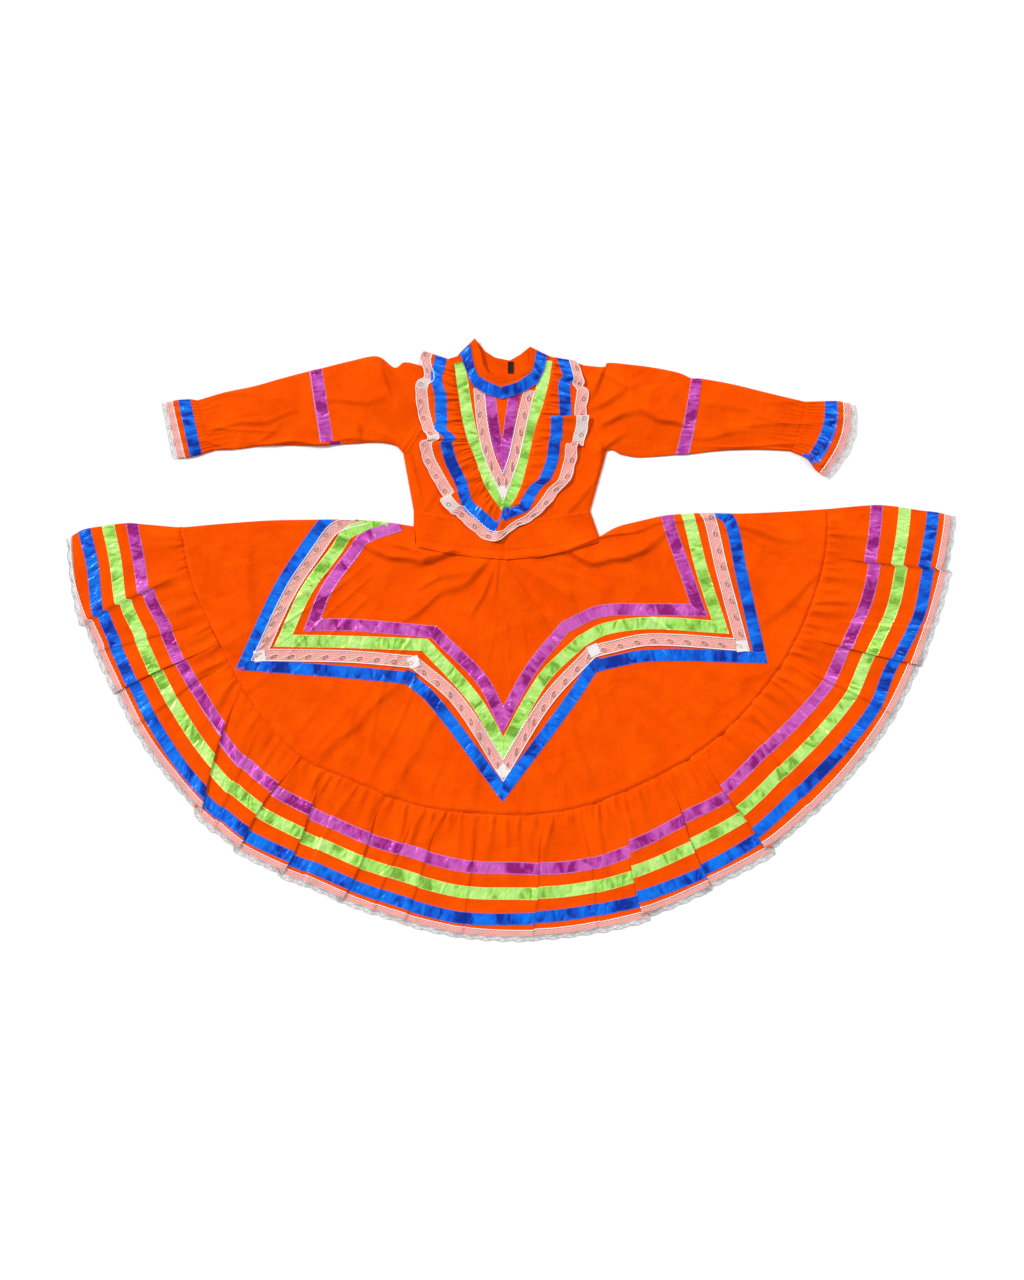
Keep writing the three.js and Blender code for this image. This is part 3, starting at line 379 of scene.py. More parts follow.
def skirt_plan(t, v):
    """Where the skirt lies: t runs round from side fold to side fold, v from waist to flounce."""
    angle = SKIRT_END[0] + (SKIRT_END[1] - SKIRT_END[0]) * t
    x1, y1 = polar(angle, ring_radius("seam", angle))
    x0, y0 = straight(WAIST, "t", "x", t), straight(WAIST, "t", "y", t)
    x = x0 + (x1 - x0) * v
    y = y0 + (y1 - y0) * v
    y = y + np.clip(1 - t / 0.12, 0, 1) ** 2 * smooth(SIDE_BOW, "v", "right", v)
    y = y + np.clip(1 - (1 - t) / 0.12, 0, 1) ** 2 * smooth(SIDE_BOW, "v", "left", v)
    return x, y


BACK_Z = 1.05
FOLD_Z = BACK_Z + 0.55  # the front's height where it turns down to the back
skirt_back = cloth("skirt_back_cloth", points(*skirt_plan(*shares(120, 14)), BACK_Z), orange)
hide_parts("skirt_back")

# ==== Flounce and hem lace of the back ====
# The rear half of the gathered flounce, flat on the table, with the lace sewn under its
# hem and the three satin ribbons that go on round it underneath.

LACE_PAST_EDGE = 9.0
RIBBON = 21.0
LACE = 24.0
SCALLOP = 29.0
NET = 0.15
UNDERSIDE_Z = 0.5
FLOUNCE_ENDS = (2.0, 175.4)


# Satin ribbon: broad soft puckers, fine floats along it and a corded selvedge at each edge.
# Its colour is painted lighter and darker in blotches that partly follow the puckers: painted sheen and
# painted shade.
looks = ["Patches", "Height", "Floats", "Selvedge"]
floated, given, result = shader_group("satin_ribbon", {"Seed": 0.0}, looks)
along = cut_place(floated)
apart = node(floated, "ShaderNodeCombineXYZ", Z=given["Seed"]).outputs[0]
shifted = node(floated, "ShaderNodeVectorMath", {"operation": "ADD"}, i0=along, i1=apart).outputs[0]
bumps_and_painted_sheen = noise(floated, stretch(floated, shifted, (58, 30, 1), 0.7), 1.0, 3.0, 0.5, 1.0)
broad = noise(floated, stretch(floated, shifted, (24, 9, 1), 0.35), 1.0, 1.0, 0.4, 0.5)
puckers = noise(floated, stretch(floated, shifted, (130, 60, 1), 0.4), 1.0, 1.0, 0.4, 0.5)
halves = [sums(floated, "MULTIPLY", part, 0.5) for part in (bumps_and_painted_sheen, broad)]
floated.links.new(sums(floated, "ADD", *halves), result["Patches"])
floated.links.new(sums(floated, "ADD", puckers, sums(floated, "MULTIPLY", bumps_and_painted_sheen, 1.6)), result["Height"])
floated.links.new(noise(floated, stretch(floated, along, (60, 2400, 1)), 1.0, 1.0), result["Floats"])
width = node(floated, "ShaderNodeSeparateXYZ", Vector=along).outputs["Y"]
from_middle = sums(floated, "ABSOLUTE", sums(floated, "SUBTRACT", width, 0.0105))
floated.links.new(sums(floated, "GREATER_THAN", from_middle, 0.0097), result["Selvedge"])


def satin(name, deep, middle, light, edge):
    """Satin ribbon that puckers, with painted sheen and painted shade in its colour."""
    made, tree, shader = new_material(name, 0.36, 0.35)
    woven = node(tree, "ShaderNodeGroup", {"node_tree": floated}, Seed=float(len(name)))
    # The ramp paints the blotches from dark to light: painted shade and painted highlight.
    shade = node(tree, "ShaderNodeValToRGB", Fac=woven.outputs["Patches"])
    ramp = shade.color_ramp
    ramp.elements[0].position, ramp.elements[0].color = 0.41, (*deep, 1.0)
    ramp.elements[1].position, ramp.elements[1].color = 0.57, (*light, 1.0)
    ramp.elements.new(0.47).color = (*middle, 1.0)
    coloured(tree, shader, woven.outputs["Selvedge"], shade.outputs[0], edge)
    bumped(tree, shader, (0.9, 0.0022, woven.outputs["Height"]), (0.3, 0.0001, woven.outputs["Floats"]))
    shader.inputs["Metallic"].default_value = 0.3
    return made


blue_edge = (0.12, 0.16, 0.75)
# A darker copy of the blue satin: painted shade for the ribbon's folded corners.
blue_painted_shade = satin("blue_satin_folded", (0.0, 0.02, 0.3), (0.0, 0.045, 0.45), (0.0, 0.08, 0.6), blue_edge)
blue = satin("blue_satin", (0.0, 0.03, 0.36), (0.0, 0.1, 0.72), (0.0, 0.2, 0.98), blue_edge)
green = satin("green_satin", (0.22, 0.5, 0.05), (0.42, 0.86, 0.13), (0.6, 1.0, 0.26), (0.9, 0.9, 0.25))
purple = satin("purple_satin", (0.32, 0.01, 0.2), (0.52, 0.05, 0.4), (0.7, 0.13, 0.58), (0.75, 0.25, 0.65))

SATINS = {"purple": purple, "green": green, "blue": blue}

# Lace: a fine slanted net with lengthwise bars, closer in some places than in others. It
# gives where there is thread, and how high it stands.
net, given, result = shader_group("lace_pattern", {"Bar pitch": 0.0031}, ["Thread", "Height"])
along = cut_place(net)
width = node(net, "ShaderNodeSeparateXYZ", Vector=along).outputs["Y"]
in_pitch = sums(net, "MULTIPLY", sums(net, "DIVIDE", width, given["Bar pitch"]), 2 * math.pi)
bars = sums(net, "GREATER_THAN", sums(net, "SINE", in_pitch), 0.35)
crossed = node(net, "ShaderNodeSeparateXYZ", Vector=stretch(net, along, (1, 1, 1), math.radians(45))).outputs
waves = [sums(net, "SINE", sums(net, "MULTIPLY", crossed[axis], 2000.0)) for axis in ("X", "Y")]
nearest = sums(net, "MINIMUM", *[sums(net, "ABSOLUTE", wave) for wave in waves])
mesh_line = sums(net, "LESS_THAN", nearest, 0.3)
thread = sums(net, "MAXIMUM", sums(net, "MULTIPLY", bars, 0.5), sums(net, "MULTIPLY", mesh_line, 0.4))
closer = sums(net, "ADD", noise(net, along, 150.0, 1.0), 0.5)
net.links.new(sums(net, "MULTIPLY", thread, closer), result["Thread"])
net.links.new(thread, result["Height"])


def lace_ground(name, colour, least, most):
    """The lace's net, clearer where there is less thread."""
    made, tree, shader = new_material(name, 0.85, 0.2)
    pattern = node(tree, "ShaderNodeGroup", {"node_tree": net}).outputs
    clear = node(tree, "ShaderNodeMapRange", Value=pattern["Thread"], To_Min=least, To_Max=most)
    tree.links.new(clear.outputs[0], shader.inputs["Alpha"])
    pale = tuple(min(1.0, c * 1.07) for c in colour)
    coloured(tree, shader, noise(tree, cut_place(tree), 240.0, 2.0), colour, pale)
    bumped(tree, shader, (0.5, 0.0004, pattern["Height"]))
    return made


def lace_thread(name, colour):
    made, tree, shader = new_material(name, 0.7, 0.5)
    twist = noise(tree, node(tree, "ShaderNodeTexCoord").outputs["Object"], 900.0, 2.0)
    coloured(tree, shader, twist, [c * 0.86 for c in colour], colour)
    bumped(tree, shader, (0.4, 0.0002, twist))
    return made


ground = lace_ground("lace_net_ground", (0.98, 0.9, 0.88), 0.12, 0.56)
doubled = lace_ground("lace_folded_double", (0.97, 0.91, 0.9), 0.72, 0.96)
overlapped = lace_ground("lace_lapped_over", (0.98, 0.9, 0.88), 0.3, 0.8)
cord = lace_thread("lace_cord", (1.0, 0.96, 0.94))
winding_cord = lace_thread("lace_winding_cord", (1.0, 0.8, 0.74))
ring_cord = lace_thread("lace_ring_cord", (0.6, 0.22, 0.15))
edge_cord = lace_thread("lace_edge_cord", (0.5, 0.48, 0.52))


def thread_maker(name, inputs, shape):
    """A tree that takes drawn lines and makes threads of them in the way that `shape` adds."""
    tree = bpy.data.node_groups.new(name, "GeometryNodeTree")
    for label, kind in {"Lines": "Geometry", **inputs, "Thread radius": "Float", "Thread": "Material"}.items():
        tree.interface.new_socket(name=label, in_out="INPUT", socket_type="NodeSocket" + kind)
    tree.interface.new_socket(name="Threads", in_out="OUTPUT", socket_type="NodeSocketGeometry")
    taken = tree.nodes.new("NodeGroupInput").outputs
    drawn = node(tree, "GeometryNodeMeshToCurve", Mesh=taken["Lines"]).outputs[0]
    real = node(tree, "GeometryNodeRealizeInstances", Geometry=shape(tree, taken, drawn))
    painted = node(tree, "GeometryNodeSetMaterial", Geometry=real.outputs[0], Material=taken["Thread"])
    tree.links.new(painted.outputs[0], tree.nodes.new("NodeGroupOutput").inputs["Threads"])
    return tree


def swept(tree, taken, drawn):
    """A round thread along every line."""
    size = {"Resolution": taken["Sides"], "Radius": taken["Thread radius"]}
    profile = node(tree, "GeometryNodeCurvePrimitiveCircle", **size).outputs[0]
    return node(tree, "GeometryNodeCurveToMesh", Curve=drawn, Profile_Curve=profile).outputs[0]


def stepped(tree, taken, drawn):
    """One short raised stitch at each step of every line."""
    paces = {"Curve": drawn, "Length": taken["Pitch"]}
    steps = node(tree, "GeometryNodeCurveToPoints", {"mode": "LENGTH"}, **paces).outputs
    size = {"Radius": taken["Thread radius"], "Depth": taken["Length"]}
    one = node(tree, "GeometryNodeMeshCylinder", Vertices=4, **size)
    placed = {"Points": steps["Points"], "Instance": one.outputs["Mesh"], "Rotation": steps["Rotation"]}
    return node(tree, "GeometryNodeInstanceOnPoints", **placed).outputs[0]


corded = thread_maker("corded_lines", {"Sides": "Int"}, swept)
stitched = thread_maker("row_of_stitches", {"Pitch": "Float", "Length": "Float"}, stepped)


def from_lines(name, lines, tree, slot, **sizes):
    """Runs a tree over drawn lines, in millimetres, and keeps the plain mesh that it makes."""
    ends = np.cumsum([0] + [len(line) for line in lines])
    edges = [(k, k + 1) for a, b in zip(ends[:-1], ends[1:]) for k in range(a, b - 1)]
    mesh = bpy.data.meshes.new(name + "_lines")
    mesh.from_pydata((np.concatenate(lines) * 0.001).tolist(), edges, [])
    pattern = add_object(name + "_lines", mesh)
    made_by = pattern.modifiers.new("maker", "NODES")
    made_by.node_group = tree
    for socket in tree.interface.items_tree:
        if socket.in_out == "INPUT" and socket.name.replace(" ", "_") in sizes:
            made_by[socket.identifier] = sizes[socket.name.replace(" ", "_")]
    result = bpy.data.meshes.new_from_object(pattern.evaluated_get(bpy.context.evaluated_depsgraph_get()))
    bpy.data.objects.remove(pattern)
    piece = add_object(name, result)
    result.name = name
    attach(piece, "root")
    return piece


def on_grid(grid, u, v):
    """Points of a grid at lengths u along it and shares v across it."""
    along = np.linalg.norm(np.diff(grid, axis=0), axis=2).mean(axis=1)
    lengths = np.concatenate([[0], np.cumsum(along)])
    c = np.interp(u, lengths, np.arange(len(lengths)))
    r = np.clip(v, 0, 1) * (grid.shape[1] - 1)
    c0 = np.clip(c.astype(int), 0, grid.shape[0] - 2)
    r0 = np.clip(r.astype(int), 0, grid.shape[1] - 2)
    fc, fr = (c - c0)[:, None], (r - r0)[:, None]
    low = grid[c0, r0] * (1 - fc) + grid[c0 + 1, r0] * fc
    high = grid[c0, r0 + 1] * (1 - fc) + grid[c0 + 1, r0 + 1] * fc
    return low * (1 - fr) + high * fr


def lace_cords(name, grid, width, ring_line=0.62, outline=None):
    """The raised threads of a strip of lace: picot edge, winding cord, scalloped edge, rings."""
    length = np.linalg.norm(np.diff(grid, axis=0), axis=2).mean(axis=1).sum()
    top = raised(grid, 0.2)
    u = np.arange(0, length, 1.5)
    phase = u / SCALLOP * 2 * math.pi
    picot = on_grid(top, u, 0.05 + 0.03 * np.sin(phase * 4))
    arches = 0.6 - np.sqrt(np.sin(phase / 2) ** 2 + 0.02)
    winding = on_grid(top, u, ring_line + (8.0 if outline else 10.5) * arches / width)
    outer_edge = on_grid(top, u, 0.97 + 0 * u)
    turn = np.linspace(0, 2 * math.pi, 10)
    rings = [
        on_grid(top, middle + 3.2 * np.cos(turn), ring_line + 3.2 / width * np.sin(turn))
        for middle in np.arange(SCALLOP / 2, length - 3, SCALLOP)
    ]
    # An edging shows its winding cord and outer edge dark; the flat lace shows only its rings so.
    white, pale, dark = ([picot, outer_edge], [winding], rings)
    if outline:
        white, pale, dark = ([picot], [], [winding, outer_edge, *rings])
    eye, eye_cord = (0.0004, outline) if outline else (0.0007, ring_cord)
    return [
        from_lines(name + ending, lines, corded, "lace", Thread_radius=radius, Sides=sides, Thread=thread)
        for ending, lines, radius, sides, thread in (
            ("", white, 0.0008, 4, cord),
            ("_winding", pale, 0.0005, 4, winding_cord),
            ("_rings", dark, eye, 3, eye_cord),
        )
        if lines
    ]


def settled(grid, least):
    """Lets a strip sink towards the table at its outer edge."""
    share = ease((np.linspace(0, 1, grid.shape[1]) - 0.55) / 0.4)[None, :]
    low = grid.copy()
    low[..., 2] = grid[..., 2] + (least - grid[..., 2]) * 0.85 * share
    return low


back_angle = np.linspace(*FLOUNCE_ENDS, 420)[:, None]
back_ring = {ring: ring_radius(ring, back_angle) for ring in ("seam", "purple", "blue", "hem")}


def ring_back(inner, outer, rows, z):
    """A flat ring under the flounce, from one radius to another."""
    return points(*polar(back_angle, inner + (outer - inner) * np.linspace(0, 1, rows)), z)


behind = ring_back(back_ring["seam"] - 2, back_ring["hem"] - LACE_PAST_EDGE, 4, BACK_Z - 0.02)
flounce_back = cloth("flounce_back_cloth", behind, orange)
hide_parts("flounce_back")
for colour, share in (("purple", 0.0), ("green", 0.5), ("blue", 1.0)):
    middle = back_ring["purple"] + (back_ring["blue"] - back_ring["purple"]) * share
    strip = ring_back(middle - RIBBON / 2, middle + RIBBON / 2, 3, UNDERSIDE_Z)
    cloth(f"back_ribbon_{colour}", strip, SATINS[colour], thick=0.3)
scallops = 1.5 * np.abs(np.sin(np.radians(back_angle) * 757 / SCALLOP * math.pi))
hem_back = ring_back(back_ring["hem"] - LACE, back_ring["hem"] - 6.5 + scallops, 4, UNDERSIDE_Z)
lace_back = cloth("hem_lace_back_net", hem_back, ground, thick=NET)
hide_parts("hem_lace_back")
lace_back_cords = lace_cords("hem_lace_back_cords", hem_back, LACE, 0.72, cord)

# ==== Skirt front ====
# The front half of the circle skirt, lying on the back. It is one with the back along the
# side folds, hangs from the waistband, and keeps folds where it was bunched at the waist.

# Each fold runs from one place to the next, and is steep on the right-hand side of the way.
CREASES = table("x0 y0 x1 y1 lift width", [
    (-296, 178, -252, 163, 3.0, 10), (-252, 163, -200, 139, 5.5, 10), (-200, 139, -148, 134, 6.5, 10),
    (-148, 134, -104, 147, 5.5, 9), (-172, 172, -150, 139, 4.5, 8), (-205, 168, -172, 150, 3.0, 8),
    (95, 150, 139, 133, 6, 9), (139, 133, 186, 136, 6.5, 10), (186, 136, 218, 155, 5.5, 10),
    (218, 155, 262, 180, 4.5, 10), (60, 140, 95, 128, 2.5, 8), (-194, 163, -146, 139, 2.6, 4),
    (-146, 139, -100, 151, 2.6, 3.5), (35, 143, 95, 151, 3.0, 7), (95, 151, 147, 172, 3.5, 7),
    (146, 173, 250, 196, 2.6, 5), (250, 196, 353, 212, 2.4, 5), (-430, 331, -320, 337, 1.8, 4),
    (-320, 337, -235, 340, 1.6, 4), (215, 391, 290, 362, 3.0, 5), (160, 450, 205, 430, 2.5, 8),
    (205, 430, 203, 396, 2.0, 8), (150, 364, 194, 384, 2.2, 7), (503, 308, 525, 291, 2.5, 5),
    (531, 381, 556, 380, 1.6, 3), (-562, 372, -535, 361, 1.6, 3), (-552, 346, -527, 336, 1.6, 3),
    (49, 36, -15, 133, 5.5, 11), (82, -19, 49, 36, 2.8, 11), (95, 78, 3, 133, 4.5, 10),
    (107, 46, 95, 78, 2.6, 9), (-105, 83, -41, 133, 4.5, 10), (-184, 36, -105, 83, 3.6, 11),
    (-155, 93, -58, 122, 3.4, 10), (-68, 51, -25, 129, 3.6, 10), (-29, 75, -19, 129, 2.6, 8),
    (30, 60, -8, 130, 2.4, 8), (150, 92, 60, 128, 2.2, 10), (-343, -214, -190, -70, 3.4, 14),
    (-216, -274, -114, -104, 3.0, 13), (-66, -291, -58, -104, 3.0, 12), (150, -274, 82, -138, 3.0, 12),
    (303, -209, 146, -78, 3.8, 14), (371, -163, 218, -53, 3.0, 12), (379, 194, 481, 168, 4, 10),
    (430, 32, 515, 109, 3.4, 12), (-445, 49, -449, 160, 3.4, 13), (-539, -2, -476, -10, 2.6, 10),
    (-445, -27, -505, 66, 2.6, 10), (-162, 396, -228, 479, 4.6, 7), (-163, 358, -205, 415, 4.2, 9),
    (-205, 415, -227, 477, 4.2, 9), (-311, 403, -219, 408, 2.6, 7), (-507, 354, -367, 386, 2.8, 8),
    (-450, 330, -395, 366, 2.0, 8), (-437, 331, -316, 335, 2.6, 4), (-268, 361, -298, 388, 3.2, 8),
    (-262, 340, -268, 361, 3.0, 8), (-189, 330, -227, 361, 3.4, 8), (-170, 350, -185, 322, 2.6, 5),
    (-480, 372, -420, 392, 1.6, 8), (133, 410, 163, 467, 4.6, 7), (130, 389, 192, 427, 4.0, 9),
    (146, 324, 192, 344, 3.4, 8), (231, 389, 290, 363, 3.8, 8), (160, 372, 231, 389, 3.2, 9),
    (146, 245, 152, 338, 3.0, 7), (-160, 240, -174, 318, 2.6, 7), (-150, 225, -120, 262, 2.4, 7),
    (100, 222, 140, 268, 2.6, 7), (312, 345, 402, 352, 2.0, 7), (420, 380, 470, 368, 1.8, 7),
    (330, 400, 400, 392, 1.6, 8),
])


def creased(x, y):
    """How far the folds of the cloth stand up at a place."""
    x, y = x + 4 * wander(x, y, 110, 3), y + 4 * wander(x, y, 110, 4)
    lift = np.zeros(np.broadcast(x, y).shape)
    for x0, y0, x1, y1, height, width in zip(*(CREASES[k] for k in ("x0", "y0", "x1", "y1", "lift", "width"))):
        dx, dy = x1 - x0, y1 - y0
        length = math.hypot(dx, dy)
        f = ((x - x0) * dx + (y - y0) * dy) / length**2
        aside = ((x - x0) * dy - (y - y0) * dx) / length
        past = np.maximum(np.maximum(-f, f - 1), 0) * length
        crest = 0.6 + 0.4 * np.sin(math.pi * np.clip(f, 0, 1))
        fall = np.where(aside > 0, (aside / (0.55 * width)) ** 2, np.abs(aside / (1.5 * width)) ** 1.4)
        lift += height * crest * np.exp(-fall - (past / (1.2 * width)) ** 2)
    return lift


def front(x, y):
    """Height of the front's cloth over the table: the back, the folds and small unevenness."""
    swell = 0.5 + 0.5 * wander(x, y, 150, 1) + 0.22 * wander(x, y, 42, 2)
    # Slight pleats that run out from the waist, as the circle's fullness lies over them.
    angle = np.degrees(np.arctan2(DISC_Y + 60 - y, x + 12))
    radius = np.hypot(x + 12, DISC_Y + 60 - y)
    pleat = (1 - np.minimum(np.abs(wander(angle * 4.2, radius * 0.16, 44, 15)), 1)) ** 5
    uneven = 0.25 + 0.75 * ease(0.5 + 1.4 * wander(x, y, 210, 16))
    fullness = ease((radius - 200) / 160) * ease((620 - radius) / 80) * uneven
    return 1.75 + np.maximum(swell, 0) + creased(x, y) + 2.2 * pleat * fullness


def hump(away, width):
    """1 where `away` is nothing, and less and less on both sides."""
    return np.exp(-((away / width) ** 2))


def skirt_front_height(t, v):
    rolled = hump(np.minimum(t, 1 - t) * (1.2 + v) * 700, 5.0)
    ripples = hump(1 - v, 0.03) * (1.3 + 0.8 * wander(t * 1650, v * 0, 11, 9)) - 1.9 * hump(1.004 - v, 0.007)
    return front(*skirt_plan(t, v)) * (1 - rolled) + FOLD_Z * rolled + ripples


down_skirt = np.concatenate([np.linspace(-0.012, 0.95, 76), np.linspace(0.95, 1.004, 14)[1:]])
t, v = np.meshgrid(np.linspace(0, 1, 320), down_skirt, indexing="ij")
skirt_grid = points(*skirt_plan(t, v), skirt_front_height(t, v))
skirt_front = cloth("skirt_front_cloth", skirt_grid, orange)
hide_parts("skirt_front")

# ==== Ribbon star on the skirt ====
# Three satin ribbons and a lace between two of them, folded to mitres at the corners of a
# star and sewn down along both edges. They go on in the same way on the skirt's back.

STAR = table("purpleX purpleY greenX greenY laceX laceY blueX blueY corner", [
    (262, 222, 295, 222, 326, 222, 346, 222, 1), (269, 189, 303, 197, 337, 202, 371, 199, 0),
    (297, 109, 323, 117, 357, 117, 389, 117, 0), (318, 49, 355, 20, 391, -10, 422, -31, 1),
    (235, 50, 235, 27, 235, -1, 235, -28, 0), (150, 47, 158, 17, 162, -15, 158, -42, 0),
    (90, 20, 116, -5, 136, -22, 136, -49, 1), (34, -49, 53, -68, 60, -104, 100, -104, 0),
    (-16, -138, -15, -188, -15, -224, -16, -260, 1), (-51, -70, -63, -104, -93, -104, -134, -104, 0),
    (-133, 12, -148, -10, -167, -39, -177, -66, 1), (-275, 24, -275, -5, -275, -30, -275, -57, 0),
    (-340, 24, -389, -3, -428, -27, -455, -43, 1), (-316, 83, -349, 83, -376, 83, -397, 83, 0),
    (-267, 151, -299, 151, -330, 151, -354, 151, 0), (-250, 172, -275, 183, -301, 188, -330, 184, 0),
    (-190, 194, -205, 199, -245, 206, -311, 208, 1),
])


def reach_along(line):
    """How far each point of a line is from its first one."""
    return np.concatenate([[0], np.cumsum(np.linalg.norm(np.diff(line, axis=0), axis=1))])


def through(knots, step):
    """A smooth line through a few knots, with its points about `step` apart."""
    rows = {"s": reach_along(knots), "x": knots[:, 0], "y": knots[:, 1]}
    s = np.linspace(0, rows["s"][-1], max(3, int(rows["s"][-1] / step)))
    curve = straight if len(knots) == 2 else smooth
    return np.stack([curve(rows, "s", axis, s) for axis in "xy"], axis=1)


def folded_band(knots, corners, width, step=2.6):
    """Plan and lengths of a ribbon folded to a mitre at each corner."""
    at = [k for k, corner in enumerate(corners) if corner]
    spans = [through(knots[a : b + 1], step) for a, b in zip(at[:-1], at[1:])]
    turns = [0.0]
    for a, b in zip(spans[:-1], spans[1:]):
        p, q = a[-1] - a[-2], b[1] - b[0]
        turns.append(math.atan2(p[0] * q[1] - p[1] * q[0], p @ q))
    turns.append(0.0)
    offsets = np.linspace(-width / 2, width / 2, 5)
    plan, lengths, folds = [], [], []
    start = 0.0
    for k, span in enumerate(spans):
        reach = reach_along(span)
        tangent = np.gradient(span, axis=0)
        tangent /= np.linalg.norm(tangent, axis=1, keepdims=True)
        first = offsets * math.tan(turns[k] / 2)
        last = reach[-1] - offsets * math.tan(turns[k + 1] / 2)
        s = first + (last - first) * (reach / reach[-1])[:, None]
        x, y = (np.interp(s, reach, span[:, i]) for i in (0, 1))
        tx, ty = (np.interp(s, reach, tangent[:, i]) for i in (0, 1))
        past = np.where(s < 0, s, np.where(s > reach[-1], s - reach[-1], 0.0))
        plan.append(np.stack([x + tx * past - ty * offsets, y + ty * past + tx * offsets], axis=2))
        lengths.append(start + s)
        folds.append(np.exp(-(s - first) / 5.0) if k else np.zeros_like(s))
        start += reach[-1]
    across = offsets + width / 2 + np.zeros_like(np.concatenate(lengths))
    return np.concatenate(plan), np.stack([np.concatenate(lengths), across], axis=2), np.concatenate(folds)


def puckered(grid, cut, amount, seed):
    """A ribbon drawn up along its stitched edges: small bulges between them."""
    u, w = cut[..., 0], cut[..., 1]
    middle = np.sin(math.pi * np.clip(w / max(w.max(), 1e-6), 0, 1))
    bulge = wander(u, w * 0.5, 15, seed) + 0.6 * wander(u, w, 7.5, seed + 1)
    return grid + points(0, 0, amount * (0.25 + 0.75 * middle) * (0.5 + 0.5 * bulge))


def edge_stitches(name, grid, finish, slot, rows=(0.07, 0.93), lift=0.12):
    """Machine stitches along both edges of a ribbon."""
    length = np.linalg.norm(np.diff(grid, axis=0), axis=2).mean(axis=1).sum()
    u = np.arange(1.5, length - 1.5, 3.0)
    top = raised(grid, lift)
    lines = [on_grid(top, u, share + 0 * u) for share in rows]
    size = {"Pitch": 0.0037, "Length": 0.0025, "Thread_radius": 0.00022}
    return from_lines(name, lines, stitched, slot, Thread=finish, **size)


def sewn_ribbon(name, stitches_name, grid, colour, amount, seed, thick, cut=None):
    """A ribbon that puckers between the stitches along its two edges."""
    cut = cut_lengths(grid) if cut is None else cut
    grid = puckered(grid, cut, amount, seed)
    finish, slot = SATINS[colour], f"{colour}_satin"
    ribbon = cloth(name, grid, finish, thick=thick, cut=cut)
    return ribbon, edge_stitches(stitches_name, grid, finish, slot)


# The skirt's upper edge, beyond which a band turns under with the cloth.
edge_v = np.linspace(0, 1, 60)
right_edge = skirt_plan(np.zeros(60), edge_v)
left_edge = skirt_plan(np.ones(60), edge_v)


def inside_skirt(x, y):
    """Pulls the ends of a band in to the skirt's side folds."""
    top = np.where(x > 0, np.interp(x, *right_edge), np.interp(-x, -left_edge[0], left_edge[1]))
    return np.minimum(y, top - 0.3)


star_pieces, star_stitches, back_star = [], [], []
for band, width, on_top, seed in (
    ("purple", RIBBON, 0.6, 20),
    ("green", RIBBON, 0.35, 21),
    ("lace", LACE - 3, 0.1, None),
    ("blue", RIBBON, 0.0, 26),
):
    knots = np.stack([STAR[band + "X"], STAR[band + "Y"]], axis=1)
    plan, cut, folds = folded_band(knots, STAR["corner"], width)
    x, y = plan[..., 0], plan[..., 1]
    # At the upper end by the right side the bands crowd together and lie one over another.
    z = front(x, y) + 0.5 + on_top * ease((x + 340) / 20) * ease((-150 - x) / 20) * ease((y - 170) / 20)
    grid = points(x, inside_skirt(x, y), z + 0.3 * folds)
    under, cut_under = grid[::2, ::4].copy(), cut[::2, ::4]
    under[..., 2] = UNDERSIDE_Z
    if band == "lace":
        grid = raised(grid, 0.35)
        strip = cloth("star_lace_net", grid, ground, thick=NET, cut=cut)
        star_pieces += lace_cords("star_lace_cords", grid, width)
        below = cloth("back_star_lace", under, ground, thick=NET, cut=cut_under)
    else:
        names = f"star_{band}_ribbon", f"star_{band}_stitches"
        strip, stitches = sewn_ribbon(*names, grid, band, 0.5, seed, 0.3, cut)
        star_stitches.append(stitches)
        below = cloth(f"back_star_{band}", under, SATINS[band], thick=0.3, cut=cut_under)
    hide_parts(f"star_{band}")
    star_pieces.append(strip)
    back_star.append(below)
# Lace and blue ribbon are folded back over themselves where they turn: the lace shows double there,
# and the ribbon is painted darker there as painted shade.
SQUARE = np.linspace(-9.5, 9.5, 8)
for k, (x, y, turned, finish) in enumerate((
    (-429, -29, 8, doubled), (-167, -39, 20, doubled), (139, -19, 25, doubled), (391, -12, 5, doubled),
    (-15, -224, 45, doubled), (-174, -64, -22, blue_painted_shade), (143, -44, 28, blue_painted_shade),
)):
    a, b = np.meshgrid(SQUARE, SQUARE, indexing="ij")
    c, d = math.cos(math.radians(turned)), math.sin(math.radians(turned))
    gx, gy = x + a * c - b * d, y + a * d + b * c
    fold = cloth(f"star_fold_{k + 1}", points(gx, gy, front(gx, gy) + 1.35), finish, thick=NET)
    star_pieces.append(fold)

# ==== Flounce front with its three ribbons and hem lace ====
# A straight strip of poplin gathered along its top onto the skirt. Its fullness lies over
# in deep folds, and the ribbons and the hem lace are sewn on flat and fold with it.

FOLDS = table("seam hem lift over step", [
    (10.3, 9.2, 4.4, -1, 9), (21.5, 16.7, 2.5, 1, 0), (25.3, 22.0, 6, -1, -3), (29.9, 29.6, 4, -1, 0),
    (36, 36, 3.0, 1, 0), (44.1, 45.7, 4, -1, 0), (53.3, 54.1, 7, -1, 12), (60.9, 63, 5, 1, 6),
    (70.3, 72.1, 7, -1, 9), (77.7, 79, 2.5, 1, 0), (84, 87, 3, 1, 2), (96.4, 96.1, 3, 1, 0),
    (102.5, 104.2, 4, 1, -2), (107.5, 108.6, 3, 1, 0), (113.4, 113, 5.5, 1, -2),
    (120, 118.3, 3.5, -1, 0), (124.5, 121.8, 5.5, 1, -7), (129.6, 128.3, 6, 1, -6),
    (138.5, 131.8, 2.5, 1, 0), (145.5, 135.2, 7, 1, -10), (150, 149.2, 3, 1, 0), (154, 154.2, 5, 1, 3),
    (158.5, 159.9, 2.5, 1, 0), (167.4, 163.9, 4.2, 1, 8),
])
